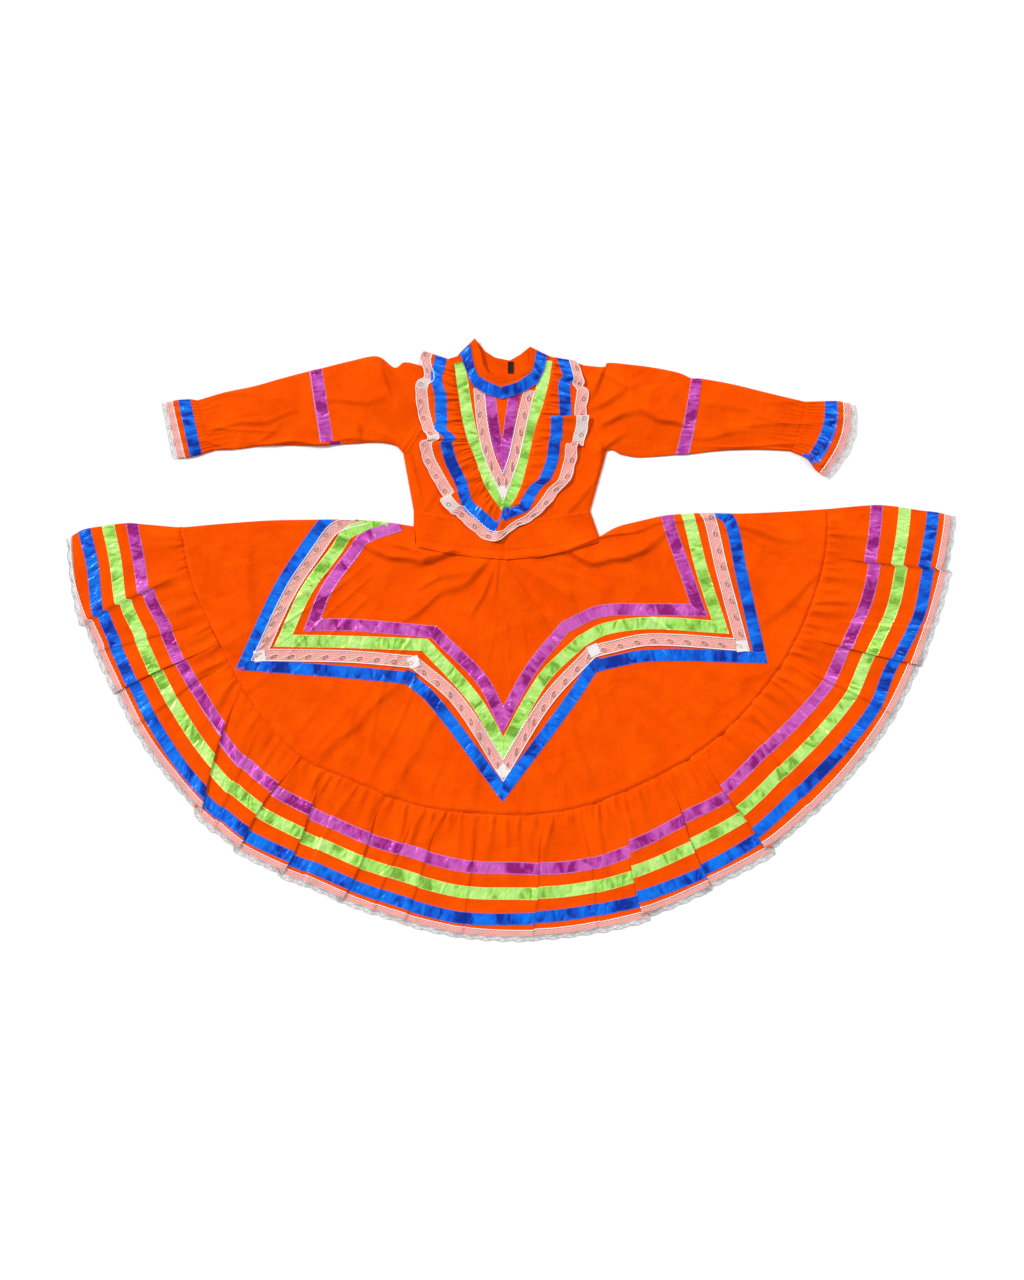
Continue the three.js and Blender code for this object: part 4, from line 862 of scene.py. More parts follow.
FLOUNCE_BOW = table("v right left", [
    (0, 0, 0), (0.35, 10, 10), (0.5, 11, 14), (0.75, 6, 12), (0.9, 4, 9), (1, 0, 0),
])
LAPPED = 4.6  # folds at least this high lap over; lower ones are waves


def fold_shape(lift, lap):
    """Sideways and up across a fold: an S where it laps over, one step where it is a wave."""
    if lift < LAPPED:
        return [(-2.4 + 4.8 * f, lift * ease(f)) for f in (0, 0.2, 0.4, 0.6, 0.8, 0.95)]
    r = lift / 4
    turn = [math.radians(q) for q in np.linspace(-90, 90, 7)]
    under = [(f * lap, 0.0) for f in (0, 0.33, 0.66)]
    first_turn = [(lap + r * math.cos(q), r + r * math.sin(q)) for q in turn]
    between = [(f * lap, 2 * r) for f in (0.66, 0.33)]
    second_turn = [(-r * math.cos(q), 3 * r + r * math.sin(q)) for q in turn]
    return under + first_turn + between + second_turn


def fold_tail(away, lift, lap):
    """How the cloth beside a fold comes down again."""
    if not lift:
        return 0 * away
    if lift < LAPPED:
        return lift * np.exp(-((np.maximum(away - 2.5, 0) / (4.2 * lift)) ** 1.6))
    return lift * hump(np.maximum(away - lap, 0), 2.6 * lift) * (0.9 + 0.1 * np.cos(away / 9))


def lay_folds(folds, first, last, unit, spacing, lap):
    """Columns across a folded strip: place at the seam and the hem, sideways, up, and trim step."""
    rows = []
    stations = zip(*(folds[k] for k in ("seam", "hem", "lift", "over", "step")))
    ends = [(*first, 0, 1, 0), *stations, (*last, 0, -1, 0)]
    for a, b in zip(ends[:-1], ends[1:]):
        (seam_a, hem_a, lift_a, over_a, step_a), (seam_b, hem_b, lift_b, over_b, step_b) = a, b
        span = (hem_b - hem_a) * unit
        count = max(6, int(span / spacing))
        share = np.linspace(0, 1, count + 1)
        away_a, away_b = share * span, (1 - share) * span
        up = 0 * share
        if over_a > 0:
            up = up + fold_tail(away_a, lift_a, lap)
        if over_b < 0:
            up = up + fold_tail(away_b, lift_b, lap)
        step = step_a / 2 * np.exp(-away_a / 70) - step_b / 2 * np.exp(-away_b / 70)
        keep = slice(1 if lift_a and over_a < 0 else 0, count if lift_b and over_b > 0 else count + 1)
        # A wave's own columns take up the first few millimetres on each side of it.
        near_wave = (away_a < 3.4) & (0 < lift_a < LAPPED) | (away_b < 3.4) & (0 < lift_b < LAPPED)
        for f, z, s, taken_up in list(zip(share, up, step, near_wave))[keep]:
            if not taken_up:
                rows.append((seam_a + (seam_b - seam_a) * f, hem_a + (hem_b - hem_a) * f, 0.0, z, s))
        if not lift_b:
            continue
        # The fold at b, from the side of the lesser angle to the greater.
        shape = fold_shape(lift_b, lap)
        if over_b < 0:
            shape = [(-aside, z) for aside, z in reversed(shape)]
        for i, (aside, z) in enumerate(shape):
            f = (i + 0.5) / len(shape)
            shifted = -step_b / 2 + step_b * ease((f - 0.2) / 0.6)
            rows.append((seam_b, hem_b, aside + (f - 0.5) * 1.6, z, shifted))
    names = ("seam", "hem", "side", "up", "step")
    return {name: np.array(column)[:, None] for name, column in zip(names, zip(*rows))}


mm_per_degree = math.radians(1) * 745
first_end, last_end = zip(SKIRT_END, FLOUNCE_ENDS)
flounce_columns = lay_folds(FOLDS, first_end, last_end, mm_per_degree, spacing=2.8, lap=7.0)
seam_radius = ring_radius("seam", flounce_columns["seam"])
hem_edge = ring_radius("hem", flounce_columns["hem"])
flounce_depth = hem_edge - LACE_PAST_EDGE + flounce_columns["step"] - seam_radius


def gathers(angle, v, count, longest, seed):
    """Fine pleats that the gathering thread draws up along the seam, each of its own length."""
    draw = np.random.default_rng(seed)
    low, high = angle.min(), angle.max()
    lift = np.zeros(np.broadcast(angle, v).shape)
    for place in low + (high - low) * (np.arange(count) + draw.uniform(-0.35, 0.35, count)) / count:
        reach = longest * draw.uniform(0.25, 1.0) ** 1.5
        width = draw.uniform(0.2, 0.4) * (high - low) / count
        drift = draw.uniform(-0.6, 0.6) * (high - low) / count
        apart = (angle - place - drift * v / 0.3) / (width * (1 + v / 0.35))
        near = np.abs(apart) < 3
        lift += np.where(near, draw.uniform(0.5, 1.0) * hump(apart, 1.0) * hump(v, reach), 0.0)
    return lift


def flounce_front(v):
    """Points of the flounce at shares v of its depth, for every column."""
    c = flounce_columns
    angle = c["seam"] + (c["hem"] - c["seam"]) * v
    radius = seam_radius + flounce_depth * v
    lapping = 0.12 + 0.88 * ease((v - 0.2) / 0.45)
    sway = 5.0 * wander(angle * 12.5, v * 205, 150, 17) * ease(v / 0.3) * np.abs(np.sin(np.radians(angle)))
    x, y = polar(angle + np.degrees((c["side"] * lapping + sway) / radius), radius)
    t = (c["seam"] - SKIRT_END[0]) / (SKIRT_END[1] - SKIRT_END[0])
    y = y + np.clip(1 - t / 0.05, 0, 1) * smooth(FLOUNCE_BOW, "v", "right", v)
    y = y + np.clip(1 - (1 - t) / 0.05, 0, 1) * smooth(FLOUNCE_BOW, "v", "left", v)
    rolled = hump(np.minimum(t, 1 - t) * 2200, 5.0)
    # The gathers stand up more where the lamp shines along them and shows them less.
    strength = 0.8 * (1 + 0.9 * hump(angle - 33, 26))
    place = c["seam"] + 0 * v
    drawn = strength * gathers(place, v, 110, 0.6, 5) + 0.8 * gathers(place, v, 230, 0.08, 8)
    lie = 0.6 - 0.012 * c["up"]
    swell = 0.5 + 0.4 * wander(x, y, 95, 6) + 0.2 * wander(angle * 12.5, v * 60, 34, 7)
    z = 1.2 + np.maximum(swell, 0) + lie * c["up"] * ease((v - 0.06) / 0.4)
    z = z + 4.4 * drawn * ease((v + 0.01) / 0.06) + 0.55 * ease(v / 0.1)
    z = z - 1.1 * hump(v - 0.006, 0.008)
    return points(x, y, z * (1 - rolled) + FOLD_Z * rolled)


# Rows lie close at the seam, where the gathers are, and wider apart towards the hem.
deep = [np.linspace(-0.012, 0.03, 6), np.linspace(0.03, 0.3, 11)[1:], np.linspace(0.3, 1.0, 17)[1:]]
deep = np.concatenate(deep)
flounce_grid = flounce_front(deep[None, :])
flounce_cloth = cloth("flounce_front_cloth", flounce_grid, orange, thick=0.4)
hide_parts("flounce_front")


def share_at(radius):
    """The share of the flounce's depth at a radius, for every column."""
    return (radius - seam_radius) / flounce_depth


c = flounce_columns
purple_middle = ring_radius("purple", c["seam"] * 0.6 + c["hem"] * 0.4) + c["step"]
blue_middle = ring_radius("blue", c["seam"] * 0.17 + c["hem"] * 0.83) + c["step"]
hem_trim = []
for band, middle, seed in (
    ("purple", purple_middle, 40),
    ("green", (purple_middle + blue_middle) / 2, 42),
    ("blue", blue_middle, 44),
):
    rows = np.linspace(-RIBBON / 2, RIBBON / 2, 5)[None, :]
    grid = raised(flounce_front(share_at(middle + rows)), 0.34)
    names = f"flounce_{band}_ribbon", f"flounce_{band}_stitches"
    ribbon, stitches = sewn_ribbon(*names, grid, band, 0.45, seed, 0.26)
    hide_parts(f"flounce_ribbon_{band}")
    hem_trim += [ribbon, stitches]

gathering_thread = lace_thread("gathering_thread", (0.5, 0.025, 0.0))
gathered_seam = raised(flounce_front(np.array([[0.008, 0.012]])), 0.35)[:, 0]
coarse = {"Pitch": 0.0048, "Length": 0.0034, "Thread_radius": 0.0005, "Thread": gathering_thread}
hem_trim.append(from_lines("gathering_stitches", [gathered_seam[12:-12]], stitched, "orange_poplin", **coarse))

outer = hem_edge + c["step"]
turned_under = 13.0 * ease((c["hem"] - 160) / 12)
inner = np.maximum(outer - 19.5 + turned_under, blue_middle + RIBBON / 2 + 2.5)
scallops = 2.6 * np.abs(np.sin(reach_along(flounce_grid[:, -1])[:, None] / SCALLOP * math.pi)) - 2.0
rows = np.linspace(0, 1, 6)[None, :]
lace_grid = settled(raised(flounce_front(share_at(inner + (outer + scallops - inner) * rows)), 0.28), 0.85)
hem_lace = cloth("hem_lace_front_net", lace_grid, ground, thick=NET)
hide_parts("hem_lace_front")
hem_trim += [hem_lace, *lace_cords("hem_lace_front_cords", lace_grid, 19.5, 0.72, edge_cord)]

# ==== Waistband ====
# A band of doubled poplin round the waist, closed by a seam in front, sewn to the bodice
# above and over the skirt below, and topstitched close to its lower edge.

WAIST_TOP = table("t x y", [
    (0, 133, 217.6), (0.28, 65, 209), (0.5, -12, 205), (0.78, -105, 209), (1, -167, 217.6),
])


def waist_top(t):
    return smooth(WAIST_TOP, "t", "x", t), smooth(WAIST_TOP, "t", "y", t)


BAND_SPAN = (0.079, 0.921)  # the band's ends, as shares of the skirt's waist


def waistband(t, v):
    x0, y0 = skirt_plan(BAND_SPAN[0] + (BAND_SPAN[1] - BAND_SPAN[0]) * t, 0.0)
    x1, y1 = waist_top(t)
    return x0 + (x1 - x0) * v, y0 + (y1 - y0) * v


t, v = shares(157, 41, -0.03, 1.02)
x, y = waistband(t, v)
rolled = hump(np.minimum(t, 1 - t) * 300, 4.0)
lower_edge = 1.0 * hump(v - 0.05, 0.07) - 0.7 * hump(v - 0.19, 0.025)
upper_edge = 0.5 * hump(v - 0.94, 0.04) - 1.0 * hump(v - 1.02, 0.03)
centre_seam = -0.9 * hump(x + 12, 1.6) * (v < 0.45) + 0.4 * hump(x + 8, 3.0) * (v < 0.45)
sagging = 0.5 * wander(x, y, 60, 31)
z = front(x, y) + 1.5 + sagging + lower_edge + upper_edge + centre_seam
z = z * (1 - rolled) + (BACK_Z + 0.9) * rolled
band_grid = points(x, y, z)
waistband_front = cloth("waistband_front_cloth", band_grid, orange)
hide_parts("waistband_front")
thread_orange = lace_thread("orange_thread", (0.85, 0.06, 0.0))
rows = (0.19, 0.95)
topstitch = edge_stitches("waistband_stitches", band_grid, thread_orange, "orange_poplin", rows=rows, lift=0.1)
behind = points(*waistband(t, v), BACK_Z + 0.02)[::6, ::5]
waistband_back = cloth("waistband_back_cloth", behind, orange)
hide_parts("waistband_back")

# ==== Bodice, yoke and collar ====
# The front panel is cut away in a long U for the yoke; the yoke ends in a stand collar
# that is edged with blue ribbon. The back is one plain panel with its own collar piece.

NECK = table("t topX topY ribbonX ribbonY seamX seamY", [
    (0, 30, 497, 41, 490, 59.5, 483), (0.1, 31, 470, 39, 473, 54, 458),
    (0.2, 27, 459, 34, 454, 44, 436), (0.35, 2, 449, 10, 437, 14, 418),
    (0.5, -21, 443.7, -19, 428, -17, 409.5), (0.66, -42, 454, -42, 438, -46, 418),
    (0.8, -49, 466, -58, 448, -67, 433), (0.9, -53, 487, -66, 471, -78, 459),
    (1, -63, 511, -71, 501.5, -88, 487),
])
YOKE_EDGE = table("t x y", [
    (0, 70, 479), (0.1, 65, 440), (0.2, 55, 400), (0.28, 45, 372), (0.34, 36, 338), (0.4, 28, 300),
    (0.44, 18, 262), (0.47, 4, 231), (0.5, -12, 211), (0.53, -27, 229), (0.58, -46, 254),
    (0.66, -63, 304), (0.74, -77, 338), (0.82, -87, 376), (0.9, -93, 420), (1, -100, 473),
])
ARMHOLE = {"left": ((121, 466), (161.5, 320), 1), "right": ((-149, 464), (-185, 316), -1)}


def armhole(name, t):
    (x0, y0), (x1, y1), side = ARMHOLE[name]
    return x0 + (x1 - x0) * t - side * 20 * np.sin(math.pi * t), y0 + (y1 - y0) * t


def edge_between(start, end):
    return lambda f: tuple(a + (b - a) * f for a, b in zip(start, end))


def in_turn(t, stops, pieces):
    """Follows the pieces of an edge one after another, changing over at the stops."""
    stops = np.array(stops) / stops[-1]
    x, y = np.zeros_like(t), np.zeros_like(t)
    for a, b, piece in zip(stops[:-1], stops[1:], pieces):
        inside = (t >= a) & (t <= b)
        px, py = piece((t - a) / (b - a))
        x, y = np.where(inside, px, x), np.where(inside, py, y)
    return x, y


def body_edge(t):
    """The bodice's outer edge: armhole, side, waist, side and armhole."""
    pieces = [
        lambda f: armhole("left", f),
        edge_between((161.5, 320), (133, 217.6)),
        waist_top,
        edge_between((-167, 217.6), (-185, 316)),
        lambda f: armhole("right", 1 - f),
    ]
    return in_turn(t, [0, 10, 13, 21, 24, 34], pieces)


def curve_of(rows, x, y):
    return lambda t: (straight(rows, "t", x, t), straight(rows, "t", y, t))


yoke_edge = curve_of(YOKE_EDGE, "x", "y")
neck_seam = curve_of(NECK, "seamX", "seamY")
neck_top = curve_of(NECK, "topX", "topY")
neck_ribbon = curve_of(NECK, "ribbonX", "ribbonY")


def between(inner, outer, columns, rows, low=0.0, high=1.0):
    """Places and shares of a grid that fills the way from one edge to another."""
    t, v = shares(columns, rows, low, high)
    (x0, y0), (x1, y1) = inner(t), outer(t)
    return x0 + (x1 - x0) * v, y0 + (y1 - y0) * v, t, v


def seam_line(away, depth):
    """A seam's groove, with the seam allowance raised beside it."""
    return -depth * hump(away, 1.5) + 0.45 * depth * hump(away - 5, 3.0)


# Rows crowd together at both edges, where a seam draws the cloth in.
t, v = shares(225, 54)
v = 0.35 * v + 0.65 * ease(v)
(x0, y0), (x1, y1) = yoke_edge(t), body_edge(t)
x, y = x0 + (x1 - x0) * v, y0 + (y1 - y0) * v
at_armhole = (t < 10 / 34) | (t > 24 / 34)
at_side = ((t > 10 / 34) & (t < 13 / 34)) | ((t > 21 / 34) & (t < 24 / 34))
from_edge = (1 - v) * np.hypot(x1 - x0, y1 - y0)
rolled = hump(from_edge, 4.0) * at_side
z = (front(x, y) + 0.9 + seam_line(from_edge, 1.3) * at_armhole) * (1 - rolled) + FOLD_Z * rolled
bodice_front = cloth("bodice_front_cloth", points(x, y, z), orange)
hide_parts("bodice_front")

x, y, t, v = between(neck_seam, yoke_edge, 170, 18, low=-0.02, high=1.03)
yoke_cloth = cloth("yoke_cloth", points(x, y, front(x, y) + 0.4), orange)
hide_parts("yoke")

x, y, t, v = between(neck_top, neck_seam, 160, 23, high=1.02)
stand = 3.4 - 2.0 * ease(v) + 0.5 * hump(v, 0.12) - 0.8 * hump(v - 0.3, 0.05)
collar_grid = points(x, y, front(x, y) + 0.6 + stand)
collar_cloth = cloth("collar_front_cloth", collar_grid, orange, thick=0.8)
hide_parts("collar_front")
x, y, t, v = between(neck_ribbon, neck_seam, 160, 8, high=1.06)
mitres = sum(hump((t - place) * 160, 1.1) for place in (0.2, 0.5, 0.8))
grid = points(x, y, front(x, y) + 4.3 - 1.9 * ease(v) - 0.45 * mitres)
cut = cut_lengths(grid)
ribbon_grid = puckered(grid, cut, 0.3, 60)
collar_ribbon = cloth("collar_blue_ribbon", ribbon_grid, blue, thick=0.3, cut=cut)
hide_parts("collar_ribbon")
collar_stitches = edge_stitches("collar_stitches", grid, blue, "blue_satin", lift=0.3)

BACK_NECK = table("t x y lowX lowY", [
    (0, 30, 497, 60, 480), (0.22, 14, 484, 38, 455), (0.42, -4, 474, 8, 445),
    (0.6, -29, 479, -30, 445), (0.78, -46, 490, -66, 455), (1, -63, 511, -88, 483),
])
back_neck = curve_of(BACK_NECK, "x", "y")
back_seam = curve_of(BACK_NECK, "lowX", "lowY")
x, y, t, v = between(back_neck, back_seam, 60, 12)
collar_back = cloth("collar_back_cloth", points(x, y, BACK_Z + 0.25 * np.sin(v * 9)), orange)
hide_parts("collar_back")


def back_top(t):
    """The back's upper edge: armhole, shoulder, collar seam, shoulder and armhole."""
    pieces = [
        lambda f: armhole("left", 1 - f),
        edge_between((121, 466), (60, 480)),
        back_seam,
        edge_between((-88, 483), (-149, 464)),
        lambda f: armhole("right", f),
    ]
    return in_turn(t, [0, 4, 6, 16, 18, 22], pieces)


x, y, t, v = between(waist_top, back_top, 155, 12)
bodice_back = cloth("bodice_back_cloth", points(x, y, BACK_Z), orange)
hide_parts("bodice_back")

# A blank woven label inside the collar, with its ends turned under.
label_finish = poplin("label_weave", (0.02, 0.012, 0.01), (0.05, 0.03, 0.028))
u, w = np.meshgrid(np.linspace(0, 10, 16), np.linspace(0, 20, 30), indexing="ij")
turned_ends = 0.5 * hump(w, 1.5) + 0.5 * hump(20 - w, 1.5)
label_grid = points(u - 7, w + 452, BACK_Z + 0.8 + turned_ends)
label = cloth("neck_label_cloth", label_grid, label_finish, thick=0.3)
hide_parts("neck_label")

# ==== Bands on the yoke ====
# Green ribbon, lace and purple ribbon in three V lines, one inside the other, folded at
# their points and sewn down along both edges, with their ends under the collar.

YOKE_BANDS = {
    "green": [
        (60, 474), (54, 440), (45, 404), (37, 372), (28, 338), (20, 304), (8, 268), (-3, 243), (-13, 229),
        (-25, 246), (-41, 272), (-54, 304), (-66, 338), (-74, 372), (-80, 406), (-85, 440), (-90, 470),
    ],
    "lace": [
        (30, 424), (24, 400), (17, 372), (10, 338), (2, 304),
        (-15, 258), (-36, 304), (-45, 338), (-51, 372), (-56, 428),
    ],
    "purple": [(4, 416), (-3, 372), (-8, 338), (-15, 308), (-26, 338), (-32, 372), (-37, 416)],
}
yoke_trim = []
for band, width, tip, seed in (("green", 20, 8, 64), ("lace", 19, 5, None), ("purple", 18.5, 3, 71)):
    knots = np.array(YOKE_BANDS[band], float)
    corners = [k in (0, tip, len(knots) - 1) for k in range(len(knots))]
    plan, cut, folds = folded_band(knots, corners, width, step=2.0)
    x, y = plan[..., 0], plan[..., 1]
    grid = points(x, y, front(x, y) + 0.75 + 0.3 * folds)
    if band == "lace":
        grid = raised(grid, 0.15)
        strip = cloth("yoke_lace_net", grid, ground, thick=NET, cut=cut)
        yoke_trim += lace_cords("yoke_lace_cords", grid, width)
        a, b = np.meshgrid(np.linspace(-6, 6, 8), np.linspace(-10, 10, 10), indexing="ij")
        fold_x, fold_y = -15.5 + a * (1 + 0.045 * b), 251 + b
        tip_fold = points(fold_x, fold_y, front(fold_x, fold_y) + 1.3)
        yoke_trim.append(cloth("yoke_lace_fold", tip_fold, doubled, thick=NET))
    else:
        names = f"yoke_{band}_ribbon", f"yoke_{band}_stitches"
        strip, stitches = sewn_ribbon(*names, grid, band, 0.5, seed, 0.3, cut)
        yoke_trim.append(stitches)
    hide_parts(f"yoke_{band}")
    yoke_trim.append(strip)

# ==== Bib ruffle ====
# A strip of poplin gathered round the yoke's seam and left free outside, so that it lies
# over in folds. A blue ribbon runs round its middle and lace is sewn to its edge.

# Stations round the ruffle: place on the yoke's edge (t), the outer edge, its height there,
# and the share of the way out at which the ribbon runs. It laps back where x and y turn back.
RUFFLE = table("t x y up ribbon", [
    (0, 109, 473, 0, 0.42), (0.035, 116, 456, 0.5, 0.48), (0.07, 122, 437, 2.6, 0.53),
    (0.085, 119, 430, 0.8, 0.46), (0.12, 129, 422, 1.2, 0.39), (0.165, 128, 406, 0.5, 0.45),
    (0.205, 126, 393, 0.2, 0.5), (0.245, 126, 377, 0, 0.54), (0.262, 128, 367, 0.5, 0.52),
    (0.262, 128, 372, 2.2, 0.43), (0.262, 129, 380, 3.4, 0.36), (0.275, 129, 372, 3.6, 0.37),
    (0.295, 128, 359, 2.2, 0.39), (0.325, 124, 345, 0.9, 0.43), (0.345, 122, 335, 0.5, 0.43),
    (0.355, 119, 328, 1.2, 0.44), (0.355, 112, 333, 2.8, 0.48), (0.37, 110, 325, 3, 0.5),
    (0.385, 109, 308, 1.4, 0.5), (0.4, 105, 291, 0.7, 0.49), (0.42, 100, 274, 1.6, 0.46),
    (0.43, 97, 268, 2.4, 0.44), (0.44, 83, 255, 1, 0.36), (0.455, 70, 238, 0.7, 0.33),
    (0.465, 58, 224, 1.6, 0.35), (0.472, 44, 211, 1.2, 0.38), (0.48, 31, 201, 0.8, 0.26),
    (0.487, 14, 194, 1, 0.15), (0.495, -3, 184, 1.4, 0.04), (0.502, -15, 173, 2.2, 0.02),
    (0.508, -26, 168, 3.6, 0.02), (0.511, -33, 167, 1.6, 0.5), (0.514, -37, 167, 0.9, 0.56),
    (0.52, -44, 169, 0.8, 0.56), (0.535, -54, 175, 0.6, 0.55), (0.555, -71, 189, 0.8, 0.57),
    (0.575, -87, 203, 1, 0.6), (0.59, -95, 212, 2, 0.6), (0.592, -103, 214, 3.2, 0.54),
    (0.605, -121, 236, 3.4, 0.46), (0.61, -116, 241, 2, 0.49), (0.62, -122, 252, 1.2, 0.48),
    (0.645, -131, 267, 0.7, 0.48), (0.675, -139, 282, 0.7, 0.49), (0.7, -148, 299, 1, 0.47),
    (0.72, -154, 318, 1.8, 0.45), (0.733, -155, 332, 2.6, 0.45), (0.74, -151, 337, 1.4, 0.41),
    (0.75, -143, 339, 3.8, 0.43), (0.765, -144, 348, 3.2, 0.51), (0.78, -150, 355, 1.2, 0.57),
    (0.815, -156, 374, 0.6, 0.48), (0.845, -160, 391, 0.5, 0.45), (0.875, -162, 410, 0.8, 0.42),
    (0.895, -163, 425, 2, 0.43), (0.905, -159, 438, 3, 0.5), (0.92, -149, 445, 2.2, 0.61),
    (0.935, -148, 456, 1, 0.62), (0.96, -153, 468, 0.6, 0.49), (0.98, -155, 479, 0.6, 0.42),
    (1, -150, 490, 0.3, 0.4),
])
hops = np.sqrt(np.diff(RUFFLE["x"]) ** 2 + np.diff(RUFFLE["y"]) ** 2 + (2 * np.diff(RUFFLE["up"])) ** 2)
RUFFLE["s"] = np.concatenate([[0], np.cumsum(hops)])
ruffle_s = np.linspace(0, RUFFLE["s"][-1], 520)[:, None]
ruffle_t = straight(RUFFLE, "s", "t", ruffle_s)


def bib_ruffle(v):
    """Points of the ruffle at shares v of its depth, for every column."""
    x0, y0 = yoke_edge(ruffle_t)
    x1, y1, up = (smooth(RUFFLE, "s", k, ruffle_s) for k in ("x", "y", "up"))
    x = x0 + (x1 - x0) * v
    y = y0 + (y1 - y0) * v
    place = ruffle_t * 100 + 0 * v
    drawn = gathers(place, v, 84, 0.75, 11) + 0.6 * gathers(place, v, 120, 0.2, 31)
    over = front(x, y) + 0.9 + 0.5 * ease(v / 0.2)
    puffed = 3.6 * drawn * ease((v + 0.03) / 0.1) + 0.3 * wander(x, y, 26, 12) * ease(v / 0.5)
    return points(x, y, over + np.maximum(up, 0) * ease(v / 0.45) * 1.25 + puffed)


ruffle_grid = bib_ruffle(np.linspace(-0.02, 1.0, 26)[None, :])
ruffle_cloth = cloth("bib_ruffle_cloth", ruffle_grid, orange, thick=0.4)
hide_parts("bib_ruffle")
ruffle_width = np.linalg.norm(ruffle_grid[:, -1] - ruffle_grid[:, 0], axis=1)[:, None]
middle = smooth(RUFFLE, "s", "ribbon", ruffle_s)
rows = np.linspace(-RIBBON / 2, RIBBON / 2, 5)[None, :]
grid = raised(bib_ruffle(middle + rows / ruffle_width), 0.34)
# At the point of the ruffle the tight gathers hold the ribbon further off the cloth.
from_point = np.hypot(grid[..., 0] + 8, grid[..., 1] - 214)
grid[..., 2] += 0.9 * hump(from_point, 24)
names = "ruffle_blue_ribbon", "ruffle_stitches"
ruffle_ribbon, ruffle_stitches = sewn_ribbon(*names, grid, "blue", 0.5, 70, 0.26)
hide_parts("ruffle_ribbon")
scallops = 1.6 * np.abs(np.sin(reach_along(ruffle_grid[:, -1])[:, None] / SCALLOP * math.pi))
inner = 1 - np.minimum(20, 0.31 * ruffle_width) / ruffle_width
outer = 1 + scallops / ruffle_width
grid = raised(bib_ruffle(inner + (outer - inner) * np.linspace(0, 1, 6)[None, :]), 0.28)
ruffle_lace = cloth("ruffle_lace_net", grid, ground, thick=NET)
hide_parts("ruffle_lace")
ruffle_cords = lace_cords("ruffle_lace_cords", grid, 21)
# Where the ruffle laps over itself its lace lies double, from one station to another.
for k, (first, last) in enumerate(((10, 14), (38, 40), (47, 49), (54, 56))):
    lapped = (ruffle_s[:, 0] >= RUFFLE["s"][first]) & (ruffle_s[:, 0] <= RUFFLE["s"][last])
    over = raised(grid[lapped], 0.25)
    cloth(f"ruffle_lace_fold_{k + 1}", over, overlapped, thick=NET)

# ==== Sleeves and cuffs ====
# Long sleeves, each one piece of poplin seamed under the arm and laid flat, with a purple
# ribbon round the upper arm and a gathered frill with blue ribbon and lace at the wrist.

SLEEVES = {
    "right": table("topX topY lowX lowY bow room", [
        (-149, 464, -185, 316, -20, 0), (-182, 471, -197, 328, -8, 1.2), (-200, 462, -216, 333, 0, 2),
        (-229.5, 481, -238, 334, 0, 2.6), (-275, 473, -272, 332, 0, 2.6), (-323, 461, -303, 330, 0, 2.6),
        (-345, 456, -325, 328, 0, 2.6), (-394, 443, -381, 329, 0, 2.6), (-440, 430, -425, 328, 0, 2.6),
        (-488, 420, -466, 323, 0, 2.4), (-536, 406, -507, 321, 0, 1),
    ]),
    "left": table("topX topY lowX lowY bow room", [
        (121, 466, 161.5, 320, -20, 0), (156, 463, 172, 321, -8, 1.2), (164, 470, 185, 314, 0, 2),
        (201, 467, 212, 309, 0, 2.6), (243, 461.5, 243, 310, 0, 2.6), (284, 453, 266, 312, 0, 2.6),
        (305, 444, 278, 313, 2, 2.6), (323, 443, 301, 314, 2, 2.6), (376, 433.5, 354, 320, 0, 2.6),
        (439, 418, 413, 322, 0, 2.4), (498, 404, 473, 320, 4, 1),
    ]),
}
CUFFS = {
    "right": table("topX topY lowX lowY bow room", [
        (-535, 406, -506, 320.5, 0, 1), (-547, 408, -527, 314, 0, 1.4), (-568, 407, -547, 309, 0, 1.6),
        (-578, 405, -556, 308, 0, 0.8), (-588, 403, -568, 307, 0, 0.2), (-597, 402, -578, 306, 0, 0),
    ]),
    "left": table("topX topY lowX lowY bow room", [
        (497, 404, 472, 320, 4, 1), (532, 405, 500, 307, 10, 1.4), (554, 405, 515, 289, 14, 1.6),
        (564, 403, 524, 282, 15, 0.8), (575, 401, 531, 277, 17, 0.2), (585, 398, 538, 270, 19, 0),
    ]),
}


def flat_tube(rows, side, s, t, wave=0.0):
    """The upper face of a flattened tube: s counts its sections, t runs across it."""
    rows = {**rows, "s": np.arange(len(rows["topX"]), dtype=float)}
    columns = ("topX", "topY", "lowX", "lowY", "bow", "room")
    top_x, top_y, low_x, low_y, bow, room = (smooth(rows, "s", column, s) for column in columns)
    x = top_x + (low_x - top_x) * t + side * bow * np.sin(math.pi * t)
    y = top_y + (low_y - top_y) * t
    width = np.hypot(top_x - low_x, top_y - low_y)
    from_edge = np.clip(np.minimum(t, 1 - t) * width / 3.5, 0, 1)
    round_edge = np.sqrt(np.maximum(1 - (1 - from_edge) ** 2, 0))
    full = front(x, y) + room * np.sin(math.pi * np.clip(t, 0, 1)) ** 0.7 + wave
    return x, y, 0.9 + (full - 0.9) * round_edge


def tube_cloth(name, rows, side, first, last, steps, wave):
    """A whole flattened tube: its upper face as it lies and its lower face flat."""
    across = (1 - np.cos(np.linspace(0, math.pi, 66))) / 2
    s, t = np.linspace(first, last, steps)[None, :], across[:, None]
    upper = points(*flat_tube(rows, side, s, t, wave(s, t)))
    lower_t = across[::-3][1:-1][:, None]
    lower = points(*flat_tube(rows, side, s, lower_t)[:2], 0.45)
    u = np.concatenate([t, lower_t]) * np.linalg.norm(upper[-1] - upper[0], axis=1)
    v = np.linspace(0, (last - first) * 45.0, steps)[None, :] + 0 * u
    cut = np.stack([u, v], axis=2)
    return cloth(name, np.concatenate([upper, lower]), orange, thick=0.4, closed=True, cut=cut)


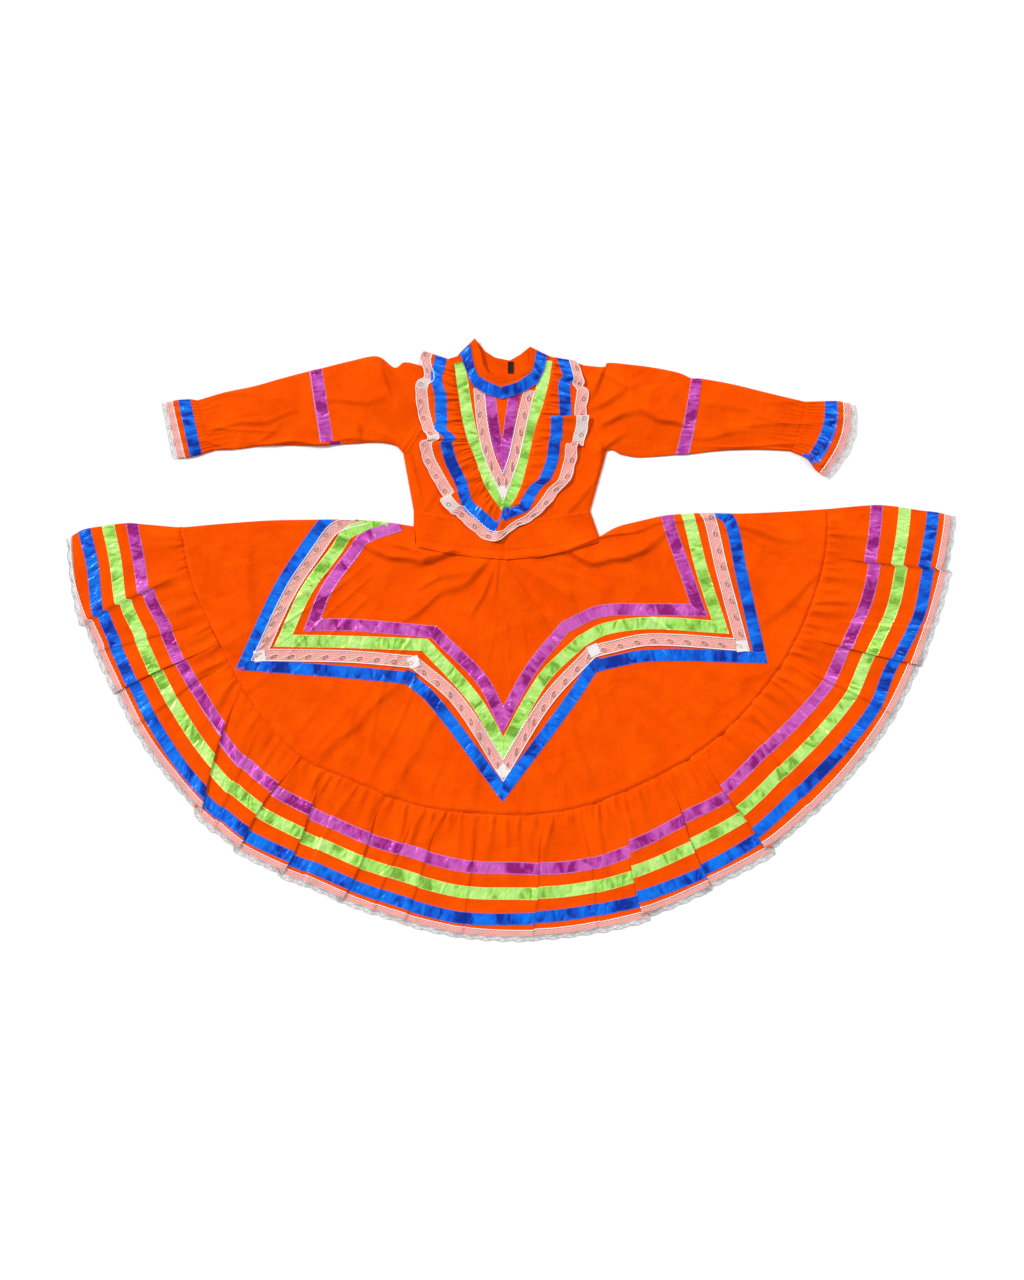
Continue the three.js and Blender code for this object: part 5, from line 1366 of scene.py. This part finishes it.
def around_tube(rows, side, first, last, wave, lift, columns=90, count=7, edge=None, ends=(0.004, 0.996)):
    """A band across the upper face of a tube between two of its sections."""
    t = np.linspace(*ends, columns)[:, None]
    share = np.linspace(0, 1, count)[None, :]
    s = first + (last - first) * share
    if edge is not None:
        s = s + edge(t) * share
    return raised(points(*flat_tube(rows, side, s, t, wave(s, t))), lift)


def drawn_in(s, t):
    """Fine puckers above the wrist, where the sleeve is gathered onto its frill."""
    fine = np.sin(2 * math.pi * 13 * t + 3.0 * np.sin(9 * t + 1.5 * s))
    fine = fine + 0.7 * np.sin(2 * math.pi * 21 * t - 4.0 * s)
    return 0.5 * (1.2 + fine) * ease((s - 8.9) / 1.0) * ease((10.6 - s) / 0.6)


WHOLE_WIDTH = (0.004, 0.996)


def scalloped(t):
    return 0.14 * np.abs(np.sin(t * 4 * math.pi)) - 0.14


for name, side, band_row in (("right", -1, 5), ("left", 1, 6)):
    right = side < 0
    rows = SLEEVES[name]
    sleeve = tube_cloth(f"sleeve_{name}_cloth", rows, side, 0, 10, 106, drawn_in)
    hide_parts(f"sleeve_{name}")
    ends = (0.004, 0.952) if right else WHOLE_WIDTH
    grid = around_tube(rows, side, band_row, band_row + 1, drawn_in, 0.35, ends=ends)
    names = f"sleeve_{name}_purple_ribbon", f"sleeve_{name}_stitches"
    band, stitches = sewn_ribbon(*names, grid, "purple", 0.4, 80 + side, 0.28)
    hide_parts(f"sleeve_band_{name}")
    if right:
        # This sleeve is rolled forward at the underarm seam, which shifts the band there.
        grid = around_tube(rows, side, 4.55, 5.25, drawn_in, 0.4, columns=8, ends=(0.956, 0.996))
        cloth("sleeve_right_band_end", grid, purple, thick=0.28)

    rows = CUFFS[name]
    phase = 0.0 if right else 0.7

    def frill(s, t, phase=phase):
        """Waves and fine gathers of the frill, which sinks towards its edge."""
        waves = np.sin(2 * math.pi * (5.2 * t + phase) + 1.5 * np.sin(5 * t))
        fine = np.sin(2 * math.pi * (17 * t + phase)) * hump(s, 1.1)
        sinking = 1 - 0.75 * ease((s - 2.0) / 2.0)
        if phase:
            # This frill is folded over near its lower end.
            waves = waves + 1.7 * hump(np.maximum(0.93 - t, 0), 0.09) * (t < 0.93) * (s < 2.6)
        return 0.9 * (1 + waves) * ease(s / 3) * sinking + 0.85 * (1 + fine) * ease(s / 0.3) * sinking

    cuff = tube_cloth(f"cuff_{name}_frill", rows, side, 0, 4, 36, frill)
    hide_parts(f"cuff_frill_{name}")
    ends = WHOLE_WIDTH if right else (0.004, 0.93)
    grid = around_tube(rows, side, 1, 2, frill, 0.35, ends=ends)
    names = f"cuff_{name}_blue_ribbon", f"cuff_{name}_stitches"
    ribbon, stitches = sewn_ribbon(*names, grid, "blue", 0.4, 86 + side, 0.28)
    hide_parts(f"cuff_ribbon_{name}")
    if not right:
        # Below the fold the ribbon comes out again nearer the sleeve.
        grid = around_tube(rows, side, 0.72, 1.68, frill, 0.6, columns=16, ends=(0.936, 0.992))
        cloth("cuff_left_ribbon_end", grid, blue, thick=0.28)
    grid = settled(around_tube(rows, side, 2.9, 5, frill, 0.3, columns=110, count=8, edge=scalloped), 1.2)
    lace = cloth(f"cuff_{name}_lace_net", grid, ground, thick=NET)
    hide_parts(f"cuff_lace_{name}")
    cords = lace_cords(f"cuff_{name}_lace_cords", grid, 20, 0.72, edge_cord)

sizes = {"cad": cad_box, "visual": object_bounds()}
sizes = {name: [[float(c) for c in corner] for corner in box] for name, box in sizes.items()}
